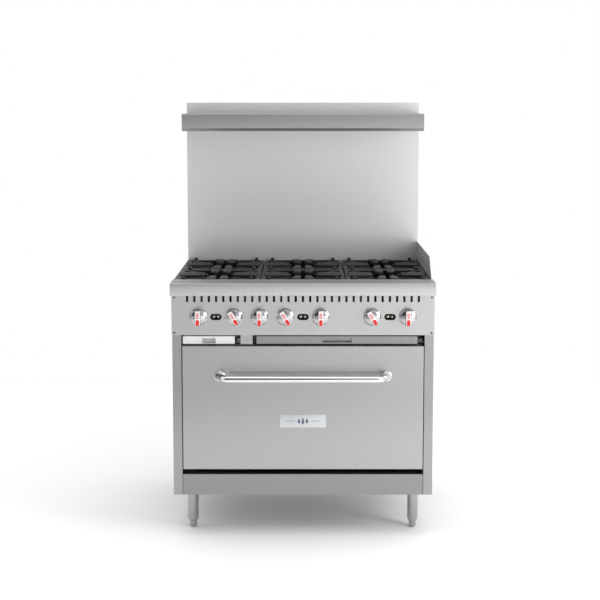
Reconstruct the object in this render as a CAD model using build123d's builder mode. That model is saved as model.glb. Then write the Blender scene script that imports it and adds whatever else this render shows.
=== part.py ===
from build123d import *

import os

# Commercial gas range, 36 inch class: six open burners over a gas oven, with a riser and a high shelf.
# Millimetres, +Z up, X to the right, Y to the back. The origin is on the floor, midway across the width and
# midway between the front of the door handle and the end of the gas inlet.

# ---------------------------------------------------------------- driving dimensions
width = 914.0  # across the side panels
body_depth = 769.0  # front of the side panels to the back panel
leg_height = 153.0  # floor to the underside of the body
kick_height = 74.0
kick_gap = 19.0  # kick panel to door
door_height = 441.0
tray_band_height = 39.0  # door to control panel
panel_height = 144.0  # control panel, up to the underside of the rail
grate_stand = 1.0  # cooking surface above the rail
riser_height = 618.0  # above the cooktop
riser_depth = 70.0

sheet = 1.2  # cabinet sheet metal
plate = 2.0  # panel, rail and frame sheet metal
moving_gap = 0.3  # between flat faces of pieces that move past each other

# side panels
flange_width = 31.5
jamb_depth = 50.0
pin_hole_clearance = 3.0  # round a hinge pin in the jamb
pan_upturn = 25.0
louvre_rise = 70.0  # body's underside to the middle of the louvres
louvre_length = 50.0
louvre_height = 8.0
louvre_pitch = (70.0, 22.0)
louvre_grid = (8, 3)
inlet_hole_clearance = 4.0
kick_side_gap = 1.5
kick_back_gap = 10.0

# front rail
rail_height = 43.0
rail_reach = 47.0  # in front of the side panels
rail_top_depth = 121.0
rail_overhang = 2.0  # past each side panel
rail_skirt = 18.0  # rear fold of the rail
rail_round = 1.5

# control panel
panel_overhang = 1.5
panel_tongue = 22.0  # hidden part behind the rail
panel_floor_depth = 60.0
screw_inset = 8.0
screw_radius = 2.2
screw_clearance = 0.2
screw_head_radius = 4.2
screw_head_height = 2.2
vent_count = 33
vent_inset = 53.8  # side of the body to the middle of the first vent
vent_width = 8.0
vent_height = 36.0
vent_drop = 28.0  # underside of the rail to the bottom of a vent
vent_corner = 3.5
pilot_slot_length = 40.0
pilot_slot_height = 22.0
stem_hole_radius = 9.0

# knobs
knob_rise = 64.0  # underside of the control panel to the knobs' axes
knob_offset = 62.0  # knobs either side of a column's middle
knob_radius = 31.0
knob_depth = 38.0
knob_base = 13.0
knob_taper = 12.0
knob_wall = 5.0
knob_gap = 1.5  # panel to knob
knob_boss_radius = 7.0
grip_width = 17.0
grip_corner = 5.0
grip_inset = 6.0  # knob's diameter less the grip's length
grip_overlap = 3.0  # grip into the base
grip_taper = 4.0
stem_radius = 4.0
stem_clearance = 0.06
stem_end_gap = 2.0
simmer_turn = 33.0  # how far the turned-on knobs stand from upright
simmer_knobs = (2, 4, 6)

# grates
grate_seam = 2.5  # between neighbouring grates of a row
grate_side_gap = 0.5
grate_back_gap = 6.5
grate_height = 30.0
grate_front_gap = 4.0
grate_row_gap = 2.5
grate_bar = 17.0
grate_corner = 8.0
grate_inner_corner = 6.0
arm_overlap = 3.0  # arm into the frame
arm_slot_end = 10.0  # slot's end to the frame
grate_drop = 4.0  # grate's outer frame below its cooking surface
arm_root = 84.0
arm_tip = 62.0
arm_reach = 52.0  # column's middle to an arm's tip
arm_slot = 16.0
arm_thickness = 17.0
web_thickness = 11.0
web_drop = 8.0
web_reach = 72.0
web_setback = 4.0  # end of a web short of the frame's corner
post_offset = 120.0
post_size = 13.0
post_rise = 6.0
frame_wall = 2.5
frame_ledge = 14.0
frame_web = 30.0
frame_web_thickness = 3.0

# burners
head_radius = 47.0
head_height = 24.0
head_drop = 34.0  # cooking surface to the top of a burner
head_wall = 14.0
port_count = 24
port_width = 2.6
port_height = 8.0
skirt_depth = 8.0
skirt_clearance = 0.5
bowl_radius = 41.0
venturi_radius = 17.0
casting_wall = 3.0
venturi_bend = 62.0  # burner's middle to the turn of its venturi
mouth_radius = 21.0
mouth_length = 16.0
mouth_gap = 12.0  # jet to the mouth of its burner
venturi_turn = 24.0  # radius of the bend on the venturi's axis
head_roof = 5.0
port_overrun = 4.0
support_depth = 40.0
support_height = 26.0
pipe_notch_clearance = 1.5

# gas train
manifold_radius = 13.34
manifold_bore = 10.5
manifold_bend = 30.0
manifold_cap = 6.0
saddle_width = 24.0
saddle_offset = 40.0  # keeps the left saddle clear of the oven's valve
manifold_setback = 42.0
manifold_gap = 1.66  # flange of the burner supports to the manifold
manifold_end = 45.0  # side panel to the capped end
inlet_inset = 62.0  # side of the body to the gas inlet's axis
inlet_stub = 30.0  # threaded end, behind the back panel
inlet_radius = 12.8  # mean radius of the thread
valve_radius = 10.0
valve_front = 22.0
valve_back = 14.0
jet_length = 18.0
jet_radius = 6.0
pilot_pipe_radius = 3.0
gas_pipe_radius = 5.0
jet_pipe_radius = 4.0
pipe_bend = 14.0
thermostat_width = 40.0
thermostat_rise = 26.0  # above the knob axis
pilot_block = 34.0
pilot_screw_radius = 4.5
pilot_screw_offset = 9.0
pilot_tip_radius = 6.0
pilot_tip_drop = 8.0  # burner's top to the pilot pipe
gas_line_setback = 50.0  # oven frame to the gas line
gas_line_inset = 22.0  # side of the opening to the oven valve's middle
gas_valve_half = 16.0
gas_valve_rise = 20.0
valve_post_half = 10.0
feed_drop = 30.0  # knob axis to the pipe's turn
heat_gap = 14.0  # heat shield to the gas line

# side guard
guard_rise = 73.0
guard_setback = 25.0  # rail to the guard's lower front corner
guard_slope = 70.0
guard_nose = 12.0  # height of the guard's upright front edge

# crumb trays
tray_setback = 12.0
tray_back_gap = 40.0  # back of a tray to the end of its runners
tray_height = 27.0
tray_wall = 1.5
tray_lift = 5.5  # top of the door to the underside of a tray
tray_side_gap = 5.0
tray_left_width = 181.0
tray_right_gap = 24.5
divider_gap = 21.0
divider_width = 42.0
divider_right_gap = 14.0
runner_thickness = 2.5
runner_reach = 12.0  # runner under each side of a tray
runner_rise = 22.0
runner_front = 6.0
stop_rise = 12.0
runner_back_gap = 129.0  # end of the runners to the back panel
notch_width = 48.0
notch_height = 20.0
slot_width = 102.0
slot_height = 14.0
pocket_depth = 14.0

# door
door_side_gap = 3.0
door_proud = 3.0
door_depth = 45.0
door_sheet = 1.5
plug_depth = 15.0
plug_gap = 8.0
hinge_setback = 22.0
hinge_rise = 16.0
hinge_radius = 5.0
hinge_clearance = 0.05
bracket_thickness = 5.0
lever_length = 34.0
spring_radius = 9.0
spring_wire = 2.0
spring_turns = 16
handle_drop = 106.0  # top of the door to the handle's axis
handle_radius = 13.0
handle_reach = 60.0
handle_inset = 148.5  # side of the door to the corner of the handle's bend
handle_splay = 18.0  # corner of the bend to the foot, sideways
handle_bend = 24.0
handle_cap_radius = 19.0
handle_cap_depth = 12.0
handle_bolt_radius = 3.0
handle_bolt_length = 8.0
handle_nut_radius = 7.0
bolt_clearance = 0.2
badge_width = 162.0
badge_height = 47.0
badge_rise = 174.0  # underside of the door to the badge's middle
badge_thickness = 1.2
badge_chamfer = 0.4

# oven
oven_side = 127.0  # side of the body to the oven's cavity
oven_back_gap = 149.0  # oven's cavity to the back panel
oven_floor_rise = 46.0  # underside of the door to the oven's floor
oven_ceiling_drop = 41.0  # top of the door to the oven's ceiling
liner_wall = 1.5
wool_thickness = 25.0
gasket_width = 14.0
deck_gap = 2.0
deck_ledge = 12.0
deck_edge_gap = 3.0
deck_slot = (36.0, 8.0)
deck_slot_pitch = 60.0
deck_slot_count = 8
deck_slot_inset = 40.0
lifting_hole_radius = 11.0
lifting_hole_pitch = 200.0
lifting_hole_setback = 45.0
guide_reach = 14.0
guide_front_gap = 30.0
guide_back_gap = 20.0
guide_floor_gap = 20.0
guide_ceiling_gap = 30.0
rack_rise = 158.0  # oven's floor to the rack
rack_pitch = 70.0
rack_play = 50.0  # oven's depth less the rack's
rack_setback = 26.0
rim_wire = 5.0
rack_wire = 3.5
rack_wires = 15
rack_side_gap = 8.0
burner_tube = 19.0
burner_bore = 16.5
burner_mouth = 14.0  # flared mouth in front of the tube
burner_port_radius = 1.8
burner_port_pitch = 24.0
burner_port_count = 11
burner_post_radius = 6.0
pipe_wall_cut = 6.0  # depth of a drilled port each side of the wall
burner_rise = 60.0  # base pan to the oven burner's axis
burner_inset = 130.0  # oven's side to the oven burner's tube
burner_setback = 90.0
burner_back_gap = 110.0
flue_half = 100.0
flue_gap = 8.0
flue_rise = 60.0

# shelf
shelf_depth = 235.0
shelf_drop = 42.0  # riser's top to the shelf's top
shelf_apron = 53.0
shelf_lip = 12.0
lip_slope = 0.7  # how far the lip runs back for its height
gusset_reach = 190.0
gusset_place = 283.0

# legs and feet
leg_radius = 19.0
leg_inset = 59.0
leg_front = 120.0
leg_back = 70.0
leg_plate = 64.0
leg_plate_thickness = 4.0
leg_cone = 9.0
leg_cone_lip = 1.0
foot_cone = 3.0
foot_radius = 13.0
foot_show = 24.0
foot_sole = 6.0
stud_radius = 8.0
stud_grip = 40.0  # stud left in the leg with the foot screwed right down
stud_clearance = 0.1
foot_travel = 20.0

# ---------------------------------------------------------------- places worked out from them
half = width / 2
handle_front = door_proud + handle_reach + handle_radius
y_face = (handle_front - body_depth - inlet_stub) / 2
y_back = y_face + body_depth
y_panel = y_face - plate
y_riser = y_back - riser_depth
y_rail = y_face - rail_reach
y_rail_back = y_rail + rail_top_depth
y_manifold = y_face + manifold_setback
y_frame = y_face + jamb_depth
y_liner = y_frame + plate
y_oven_back = y_back - oven_back_gap
y_tray = y_face + tray_setback
y_door = y_face - door_proud
y_door_back = y_door + door_depth
y_hinge = y_face + hinge_setback

z_base = leg_height
z_pan = z_base + plate
z_kick = z_base + kick_height
z_door = z_kick + kick_gap
z_door_top = z_door + door_height
z_panel = z_door_top + tray_band_height
z_rail = z_panel + panel_height
z_rail_top = z_rail + rail_height
cooktop_height = z_rail_top + grate_stand
knob_height = z_panel + knob_rise
handle_height = z_door_top - handle_drop
badge_centre = z_door + badge_rise
z_grate = cooktop_height - grate_height
z_ledge = z_grate - plate
z_head_top = cooktop_height - head_drop
z_head = z_head_top - head_height
z_bowl = knob_height - venturi_radius - 2
z_manifold = z_bowl - plate - manifold_gap - manifold_radius
z_tray = z_door_top + tray_lift
z_runner = z_tray - moving_gap
z_shield = z_runner - runner_thickness - sheet
z_hinge = z_door + hinge_rise
z_riser = cooktop_height + riser_height
z_shelf = z_riser - shelf_drop
z_apron = z_shelf - shelf_apron
oven_floor = z_door + oven_floor_rise
oven_ceiling = z_door_top - oven_ceiling_drop
rack_height = oven_floor + rack_rise
burner_axis = z_pan + burner_rise

jamb_x = half - flange_width
door_half = jamb_x - door_side_gap
handle_corner = door_half - handle_inset
handle_foot = handle_corner + handle_splay
vent_pitch = (width - 2 * vent_inset) / (vent_count - 1)
inlet_x = half - inlet_inset
runner_depth = body_depth - runner_back_gap
tray_depth = runner_depth - tray_back_gap
rack_depth = y_oven_back - y_frame - rack_play
stud_length = stud_grip + foot_travel
oven_half = half - oven_side
burner_half = oven_half - burner_inset
liner_half = oven_half + liner_wall
tray_left = (tray_side_gap - jamb_x, tray_side_gap - jamb_x + tray_left_width)
divider = (tray_left[1] + divider_gap, tray_left[1] + divider_gap + divider_width)
tray_right = (divider[1] + divider_right_gap, jamb_x - tray_right_gap)
divider_x = (divider[0] + divider[1]) / 2

column_pitch = (width - 2 * (frame_wall + grate_side_gap) + grate_seam) / 3
grate_width = column_pitch - grate_seam
grate_depth = (y_riser - y_rail_back - grate_front_gap - grate_row_gap - grate_back_gap) / 2
columns = (-column_pitch, 0.0, column_pitch)
row_front = y_rail_back + grate_front_gap + grate_depth / 2
rows = (row_front, row_front + grate_depth + grate_row_gap)
y_between = (rows[0] + rows[1]) / 2
burner_knobs = [column + side * knob_offset for column in columns for side in (-1, 1)]
oven_knob = (burner_knobs[1] + burner_knobs[2]) / 2
knob_places = sorted([*burner_knobs, oven_knob])
knob_back = y_panel - knob_gap
stem_front = knob_back - knob_depth + 4 + 2 * stem_end_gap
screw_places = [(side * (half - screw_inset), z) for side in (-1, 1) for z in (z_panel + 8, z_rail - 11)]
leg_rows = (y_face + leg_front, y_back - leg_back)
leg_places = [(side * (half - leg_inset), y) for y in leg_rows for side in (-1, 1)]

os.makedirs("parts", exist_ok=True)


# ---------------------------------------------------------------- helpers used inside the part blocks
def slab(x, y, z, mode=Mode.ADD):
    """A block between two places on each axis."""
    spans = (x, y, z)
    with Locations(tuple((low + high) / 2 for low, high in spans)):
        Box(*(abs(high - low) for low, high in spans), mode=mode)


def rod(start, end, radius, mode=Mode.ADD):
    """A round bar between two points."""
    axis = Vector(*end) - Vector(*start)
    with Locations(Plane(origin=start, z_dir=axis.normalized())):
        Cylinder(radius, axis.length, align=(Align.CENTER, Align.CENTER, Align.MIN), mode=mode)


def bent_rod(points, bend, radius, mode=Mode.ADD):
    """A round bar along straight runs that are joined by arcs."""
    with BuildLine() as route:
        FilletPolyline(*points, radius=bend)
    with BuildSketch(Plane(origin=route.line @ 0, z_dir=route.line % 0)) as ring:
        Circle(radius)
    sweep(sections=ring.sketch, path=route.line, mode=mode)


# ---------------------------------------------------------------- cabinet
# Each side is one folded sheet: outer wall, front flange and a jamb that turns back beside the door.
for side, name in ((-1, "side_panel_left"), (1, "side_panel_right")):
    with BuildPart() as side_panel:
        slab((side * half, side * (half - sheet)), (y_face, y_back), (z_base, z_ledge))
        slab((side * half, side * jamb_x), (y_face, y_face + sheet), (z_base, z_ledge))
        slab((side * jamb_x, side * (jamb_x + sheet)), (y_face, y_frame), (z_pan, z_panel))
        rod(
            (side * (jamb_x - plate), y_hinge, z_hinge),
            (side * (jamb_x + 2 * plate), y_hinge, z_hinge),
            hinge_radius + pin_hole_clearance,
            mode=Mode.SUBTRACT,
        )
    side_panel.part.label = name
    export_step(side_panel.part, f"parts/{name}.step")

# Flat rear sheet with cooling louvres low down and a hole for the gas inlet.
with BuildPart() as back_panel:
    slab((sheet - half, half - sheet), (y_back - sheet, y_back), (z_base, z_ledge))
    rod(
        (inlet_x, y_back - 2 * sheet, z_manifold),
        (inlet_x, y_back + 2 * sheet, z_manifold),
        manifold_radius + inlet_hole_clearance,
        mode=Mode.SUBTRACT,
    )
    with BuildSketch(Plane.XZ.offset(-y_back)):
        with Locations((0, z_base + louvre_rise)):
            with GridLocations(*louvre_pitch, *louvre_grid):
                SlotOverall(louvre_length, louvre_height)
    extrude(amount=2 * sheet, both=True, mode=Mode.SUBTRACT)
back_panel.part.label = "back_panel"
export_step(back_panel.part, "parts/back_panel.step")

# Bottom pan with turned-up sides.
with BuildPart() as base_pan:
    slab((sheet - half, half - sheet), (y_face + 2 * sheet, y_back - sheet), (z_base, z_pan))
    for side in (-1, 1):
        inner = side * (half - sheet)
        slab((inner, inner - side * plate), (y_frame, y_back - sheet), (z_base, z_base + pan_upturn))
base_pan.part.label = "base_pan"
export_step(base_pan.part, "parts/base_pan.step")

# Lift-out kick panel: front face, a deep top fold that shows as a ledge under the door, and a bottom fold.
with BuildPart() as kick_panel:
    kick_half = jamb_x - kick_side_gap
    kick_back = y_frame - kick_back_gap
    kick_front = y_face + sheet
    slab((-kick_half, kick_half), (kick_front, kick_front + sheet), (z_base, z_kick))
    slab((-kick_half, kick_half), (kick_front, kick_back), (z_kick - sheet, z_kick))
    slab((-kick_half, kick_half), (kick_front + sheet, kick_back), (z_pan, z_pan + sheet))
kick_panel.part.label = "kick_panel"
export_step(kick_panel.part, "parts/kick_panel.step")

# Control panel with a floor fold: vents, seven stem holes, three pilot slots and four screw holes.
with BuildPart() as control_panel:
    panel_half = half + panel_overhang
    slab((-panel_half, panel_half), (y_panel, y_face), (z_panel, z_rail))
    slab((1 - half, half - 1), (y_panel, y_face), (z_rail, z_rail + panel_tongue))
    slab((1 - jamb_x, jamb_x - 1), (y_face, y_face + panel_floor_depth), (z_panel, z_panel + sheet))
    with BuildSketch(Plane.XZ.offset(-y_face)):
        with Locations((0, z_rail - vent_drop + vent_height / 2)):
            with GridLocations(vent_pitch, 1, vent_count, 1):
                RectangleRounded(vent_width, vent_height, vent_corner)
        with Locations(*[(x, knob_height) for x in knob_places]):
            Circle(stem_hole_radius)
        with Locations(*[(x, knob_height) for x in columns]):
            SlotOverall(pilot_slot_length, pilot_slot_height)
        with Locations(*screw_places):
            Circle(screw_radius + screw_clearance)
    extrude(amount=2 * plate, both=True, mode=Mode.SUBTRACT)
control_panel.part.label = "control_panel"
export_step(control_panel.part, "parts/control_panel.step")

# Four pan-head screws, each with a round recess.
with BuildPart() as panel_screws:
    for x, z in screw_places:
        rod((x, y_panel, z), (x, y_panel - screw_head_height, z), screw_head_radius)
        rod((x, y_panel, z), (x, y_face, z), screw_radius)
        rod(
            (x, y_panel - screw_head_height, z),
            (x, y_panel - screw_head_height / 2, z),
            screw_radius / 2,
            mode=Mode.SUBTRACT,
        )
panel_screws.part.label = "panel_screws"
export_step(panel_screws.part, "parts/panel_screws.step")

# Folded rail that overhangs the control panel and closes the front of the cooktop, with welded ends.
with BuildPart() as front_rail:
    rail_half = half + rail_overhang
    with BuildSketch(Plane.YZ.offset(-rail_half)):
        with BuildLine():
            Polyline(
                (y_panel, z_rail),
                (y_rail, z_rail),
                (y_rail, z_rail_top),
                (y_rail_back, z_rail_top),
                (y_rail_back, z_rail_top - rail_skirt),
                (y_rail_back - plate, z_rail_top - rail_skirt),
                (y_rail_back - plate, z_rail_top - plate),
                (y_rail + plate, z_rail_top - plate),
                (y_rail + plate, z_rail + plate),
                (y_panel, z_rail + plate),
                close=True,
            )
        make_face()
    extrude(amount=2 * rail_half)
    for side in (-1, 1):
        slab((side * rail_half, side * half), (y_rail, y_rail_back), (z_rail, z_rail_top))
    fillet(front_rail.edges().filter_by(Axis.X).group_by(Axis.Y)[0].sort_by(Axis.Z)[-1], rail_round)
front_rail.part.label = "front_rail"
export_step(front_rail.part, "parts/front_rail.step")

# Rails that carry the grates: one along each side and one between each pair of columns.
with BuildPart() as top_frame:
    span = (y_rail_back, y_riser)
    for side in (-1, 1):
        inner = side * (half - frame_wall)
        slab((side * half, inner), span, (z_ledge, cooktop_height - grate_drop))
        slab((inner, inner - side * frame_ledge), span, (z_ledge, z_grate))
        middle = side * column_pitch / 2
        slab((middle - frame_ledge, middle + frame_ledge), span, (z_ledge, z_grate))
        web = (middle - frame_web_thickness / 2, middle + frame_web_thickness / 2)
        slab(web, span, (z_grate - frame_web, z_ledge))
top_frame.part.label = "top_frame"
export_step(top_frame.part, "parts/top_frame.step")

# Upright guard on the right-hand edge of the cooktop, sloping down at its front.
with BuildPart() as side_guard:
    guard_low = cooktop_height - grate_drop
    guard_front = y_rail_back + guard_setback
    with BuildSketch(Plane.YZ.offset(half - frame_wall + moving_gap)):
        with BuildLine():
            Polyline(
                (y_riser, guard_low),
                (guard_front, guard_low),
                (guard_front, guard_low + guard_nose),
                (guard_front + guard_slope, guard_low + guard_rise),
                (y_riser, guard_low + guard_rise),
                close=True,
            )
        make_face()
    extrude(amount=sheet)
side_guard.part.label = "side_guard"
export_step(side_guard.part, "parts/side_guard.step")

# ---------------------------------------------------------------- grates
# Each casting is an open frame with four slotted arms, a web to each corner and short posts at both ends.
for row, place in zip(rows, ("front", "back")):
    for number, column in enumerate(columns, start=1):
        inner_x = grate_width / 2 - grate_bar
        inner_y = grate_depth / 2 - grate_bar
        web_end = min(inner_x, inner_y) * 2**0.5 - web_setback
        with BuildPart() as grate:
            with BuildSketch(Plane((column, row, z_grate))):
                RectangleRounded(grate_width, grate_depth, grate_corner)
                RectangleRounded(2 * inner_x, 2 * inner_y, grate_inner_corner, mode=Mode.SUBTRACT)
            extrude(amount=grate_height - grate_drop)
            for turn, inner in ((0, inner_y), (90, inner_x), (180, inner_y), (270, inner_x)):
                arm_plane = Plane((column, row, cooktop_height - arm_thickness)).rotated((0, 0, turn))
                with BuildSketch(arm_plane):
                    with BuildLine():
                        Polyline(
                            (-arm_tip / 2, arm_reach),
                            (arm_tip / 2, arm_reach),
                            (arm_root / 2, inner + arm_overlap),
                            (-arm_root / 2, inner + arm_overlap),
                            close=True,
                        )
                    make_face()
                    slot_length = inner - arm_reach - arm_slot_end
                    with Locations((0, arm_reach + slot_length / 2)):
                        Rectangle(arm_slot, slot_length, mode=Mode.SUBTRACT)
                extrude(amount=arm_thickness)
            with BuildSketch(Plane((column, row, z_grate + web_drop))):
                for turn in (45, 135, 225, 315):
                    with BuildLine():
                        Line(
                            Vector(web_reach, 0).rotate(Axis.Z, turn),
                            Vector(web_end, 0).rotate(Axis.Z, turn),
                        )
                    trace(line_width=web_thickness)
            extrude(amount=arm_thickness)
            for side_x in (-1, 1):
                for side_y in (-1, 1):
                    x = column + side_x * post_offset
                    y = row + side_y * (grate_depth / 2 - 2)
                    slab(
                        (x - post_size / 2, x + post_size / 2),
                        (y, y - side_y * post_size),
                        (z_grate, cooktop_height + post_rise),
                    )
        grate.part.label = f"grate_{place}_{number}"
        export_step(grate.part, f"parts/grate_{place}_{number}.step")

# ---------------------------------------------------------------- burners and gas train
# Six castings: a flared mouth, a bent venturi and an upright bowl under each head.
venturi_start = y_manifold + valve_back + mouth_gap
venturi_routes = []
for column in columns:
    for row, side in zip(rows, (-1, 1)):
        x = column + side * knob_offset
        venturi_routes.append(
            [
                (x, venturi_start, knob_height),
                (x, row - venturi_bend, knob_height),
                (column, row, knob_height),
            ]
        )
with BuildPart() as burner_bodies:
    for route in venturi_routes:
        x, y, z = route[0]
        bowl_x, bowl_y, bowl_z = route[2]
        bent_rod(route, venturi_turn, venturi_radius)
        rod(route[0], (x, y + mouth_length, z), mouth_radius)
        rod((bowl_x, bowl_y, z_bowl), (bowl_x, bowl_y, z_head), bowl_radius)
    for route in venturi_routes:
        x, y, z = route[0]
        bowl_x, bowl_y, bowl_z = route[2]
        bent_rod(route, venturi_turn, venturi_radius - casting_wall, mode=Mode.SUBTRACT)
        rod(
            (bowl_x, bowl_y, z_bowl + casting_wall),
            (bowl_x, bowl_y, z_head),
            bowl_radius - casting_wall,
            mode=Mode.SUBTRACT,
        )
burner_bodies.part.label = "burner_bodies"
export_step(burner_bodies.part, "parts/burner_bodies.step")

# Six lift-off heads: a cap with a ring of ports, and a skirt that drops into the bowl.
with BuildPart() as burner_heads:
    for column in columns:
        for row in rows:
            rod((column, row, z_head), (column, row, z_head_top), head_radius)
            rod(
                (column, row, z_head - skirt_depth),
                (column, row, z_head),
                bowl_radius - casting_wall - skirt_clearance,
            )
            rod(
                (column, row, z_head - skirt_depth),
                (column, row, z_head_top - head_roof),
                head_radius - head_wall,
                mode=Mode.SUBTRACT,
            )
            with Locations((column, row, (z_head + z_head_top) / 2)):
                with PolarLocations(head_radius - head_wall / 2, port_count):
                    Box(head_wall + port_overrun, port_width, port_height, mode=Mode.SUBTRACT)
burner_heads.part.label = "burner_heads"
export_step(burner_heads.part, "parts/burner_heads.step")

# Two cross channels that the bowls stand on, notched round the gas pipe.
with BuildPart() as burner_supports:
    reach = (sheet - half, half - sheet)
    for row in rows:
        slab(reach, (row - support_depth / 2, row + support_depth / 2), (z_bowl - plate, z_bowl))
        for side in (-1, 1):
            web = row + side * support_depth / 2
            slab(reach, (web, web - side * plate), (z_bowl - support_height, z_bowl - plate))
    rod(
        (inlet_x, rows[0] - support_depth, z_manifold),
        (inlet_x, rows[1] + support_depth, z_manifold),
        manifold_radius + pipe_notch_clearance,
        mode=Mode.SUBTRACT,
    )
burner_supports.part.label = "burner_supports"
export_step(burner_supports.part, "parts/burner_supports.step")

# Supply pipe across the front, back along the right side and out through the rear, on two saddles.
with BuildPart() as gas_manifold:
    pipe_start = (manifold_end - half, y_manifold, z_manifold)
    pipe_route = [
        pipe_start,
        (inlet_x, y_manifold, z_manifold),
        (inlet_x, y_back, z_manifold),
    ]
    inlet_end = (inlet_x, y_back + inlet_stub, z_manifold)
    for column in (saddle_offset - column_pitch / 2, column_pitch / 2):
        slab(
            (column - saddle_width / 2, column + saddle_width / 2),
            (y_manifold - manifold_radius, y_manifold + manifold_radius),
            (z_panel + sheet, z_manifold),
        )
    bent_rod(pipe_route, manifold_bend, manifold_radius)
    rod(pipe_route[2], inlet_end, inlet_radius)
    bent_rod(pipe_route, manifold_bend, manifold_bore, mode=Mode.SUBTRACT)
    rod(pipe_route[2], inlet_end, manifold_bore, mode=Mode.SUBTRACT)
    rod(pipe_start, (pipe_start[0] + manifold_cap, y_manifold, z_manifold), manifold_radius)
    for x in knob_places:
        rod(
            (x, y_manifold, z_manifold),
            (x, y_manifold, z_manifold + 2 * manifold_radius),
            jet_radius,
            mode=Mode.SUBTRACT,
        )
gas_manifold.part.label = "gas_manifold"
export_step(gas_manifold.part, "parts/gas_manifold.step")

# Six brass valves: spigot into the pipe, body on the knob's axis, jet to the back and stem to the front.
with BuildPart() as burner_valves:
    for x in burner_knobs:
        rod((x, y_manifold, z_manifold + manifold_bore), (x, y_manifold, knob_height), jet_radius)
        rod(
            (x, y_manifold - valve_front, knob_height),
            (x, y_manifold + valve_back, knob_height),
            valve_radius,
        )
        rod(
            (x, y_manifold + valve_back, knob_height),
            (x, y_manifold + valve_back + jet_length, knob_height),
            jet_radius,
        )
        rod((x, stem_front, knob_height), (x, y_manifold - valve_front, knob_height), stem_radius)
burner_valves.part.label = "burner_valves"
export_step(burner_valves.part, "parts/burner_valves.step")

# Oven thermostat: a block on the pipe, with its own stem to the front.
with BuildPart() as thermostat:
    rod(
        (oven_knob, y_manifold, z_manifold + manifold_bore),
        (oven_knob, y_manifold, knob_height),
        jet_radius,
    )
    slab(
        (oven_knob - thermostat_width / 2, oven_knob + thermostat_width / 2),
        (y_manifold - valve_front, y_manifold + valve_back),
        (z_manifold + manifold_radius + plate, knob_height + thermostat_rise),
    )
    rod(
        (oven_knob, stem_front, knob_height),
        (oven_knob, y_manifold - valve_front, knob_height),
        stem_radius,
    )
thermostat.part.label = "thermostat"
export_step(thermostat.part, "parts/thermostat.step")

# Three pilot valves behind the panel's slots, each with a pipe to a tip between its two burners.
with BuildPart() as pilots:
    pilot_z = z_manifold + manifold_radius
    pilot_low = z_bowl - support_height - 2 * pilot_pipe_radius
    for x in columns:
        block = (x - pilot_block / 2, x + pilot_block / 2)
        slab(block, (y_manifold - 18, y_manifold - 4), (pilot_z, knob_height + 8))
        for side in (-1, 1):
            screw_x = x + side * pilot_screw_offset
            rod(
                (screw_x, y_face + 5, knob_height),
                (screw_x, y_manifold - 10, knob_height),
                pilot_screw_radius,
            )
        pipe = [
            (x, y_manifold - 6, pilot_z + 6),
            (x, y_manifold + 30, pilot_z + 6),
            (x, y_manifold + 60, pilot_low),
            (x, y_between, pilot_low),
            (x, y_between, z_head_top - pilot_tip_drop),
        ]
        bent_rod(pipe, 12, pilot_pipe_radius)
        rod((x, y_between, z_head_top - 14), (x, y_between, z_head_top), pilot_tip_radius)
pilots.part.label = "pilots"
export_step(pilots.part, "parts/pilots.step")

# Gas pipe from the thermostat, down inside the tray divider and over the oven's roof to a safety valve, then
# on through the liner's wall to the oven burner.
with BuildPart() as oven_gas_line:
    pipe_y = y_frame + gas_line_setback
    roof = z_shield - heat_gap
    drop_x = gas_line_inset - jamb_x
    valve_top = burner_axis + gas_valve_rise
    feed = [
        (oven_knob, y_manifold + valve_back, knob_height),
        (oven_knob, pipe_y, knob_height),
        (divider_x, pipe_y, knob_height - feed_drop),
        (divider_x, pipe_y, roof),
        (drop_x, pipe_y, roof),
        (drop_x, pipe_y, valve_top),
    ]
    bent_rod(feed, pipe_bend, gas_pipe_radius)
    valve_x = (drop_x - gas_valve_half, drop_x + gas_valve_half)
    valve_y = (pipe_y - gas_valve_half, pipe_y + gas_valve_half)
    slab(valve_x, valve_y, (burner_axis - gas_valve_rise, valve_top))
    jet = [
        (valve_x[1], pipe_y, burner_axis),
        (-burner_half, pipe_y, burner_axis),
        (-burner_half, y_frame + burner_setback - 8, burner_axis),
    ]
    bent_rod(jet, pipe_bend, jet_pipe_radius)
    post_x = (drop_x - valve_post_half, drop_x + valve_post_half)
    post_y = (pipe_y - valve_post_half, pipe_y + valve_post_half)
    slab(post_x, post_y, (z_pan, burner_axis - gas_valve_rise))
oven_gas_line.part.label = "oven_gas_line"
export_step(oven_gas_line.part, "parts/oven_gas_line.step")

# ---------------------------------------------------------------- crumb trays
# Two open trays. The left one has a finger notch at its lower edge, the right one a finger slot, each with a
# pocket behind it.
tray_top = z_tray + tray_height
for x, name in ((tray_left, "crumb_tray_left"), (tray_right, "crumb_tray_right")):
    with BuildPart() as crumb_tray:
        rim = tray_top - 6
        slab(x, (y_tray, y_tray + tray_depth), (z_tray, z_tray + tray_wall))
        slab(x, (y_tray, y_tray + tray_wall), (z_tray, tray_top))
        slab(x, (y_tray + tray_depth - tray_wall, y_tray + tray_depth), (z_tray, rim))
        for edge, inward in ((x[0], 1), (x[1], -1)):
            slab((edge, edge + inward * tray_wall), (y_tray, y_tray + tray_depth), (z_tray, rim))
        middle = (x[0] + x[1]) / 2
        if name == "crumb_tray_left":
            opening = (middle - notch_width / 2, middle + notch_width / 2)
            hole_z = (z_tray + tray_wall, z_tray + notch_height)
        else:
            opening = (middle - slot_width / 2, middle + slot_width / 2)
            hole_z = (z_tray + 5, z_tray + 5 + slot_height)
        pocket = y_tray + pocket_depth
        slab(
            (opening[0] - tray_wall, opening[1] + tray_wall),
            (y_tray, pocket + tray_wall),
            (z_tray, hole_z[1] + tray_wall),
        )
        slab(opening, (y_tray - 1, pocket), hole_z, mode=Mode.SUBTRACT)
    crumb_tray.part.label = name
    export_step(crumb_tray.part, f"parts/{name}.step")

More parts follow.
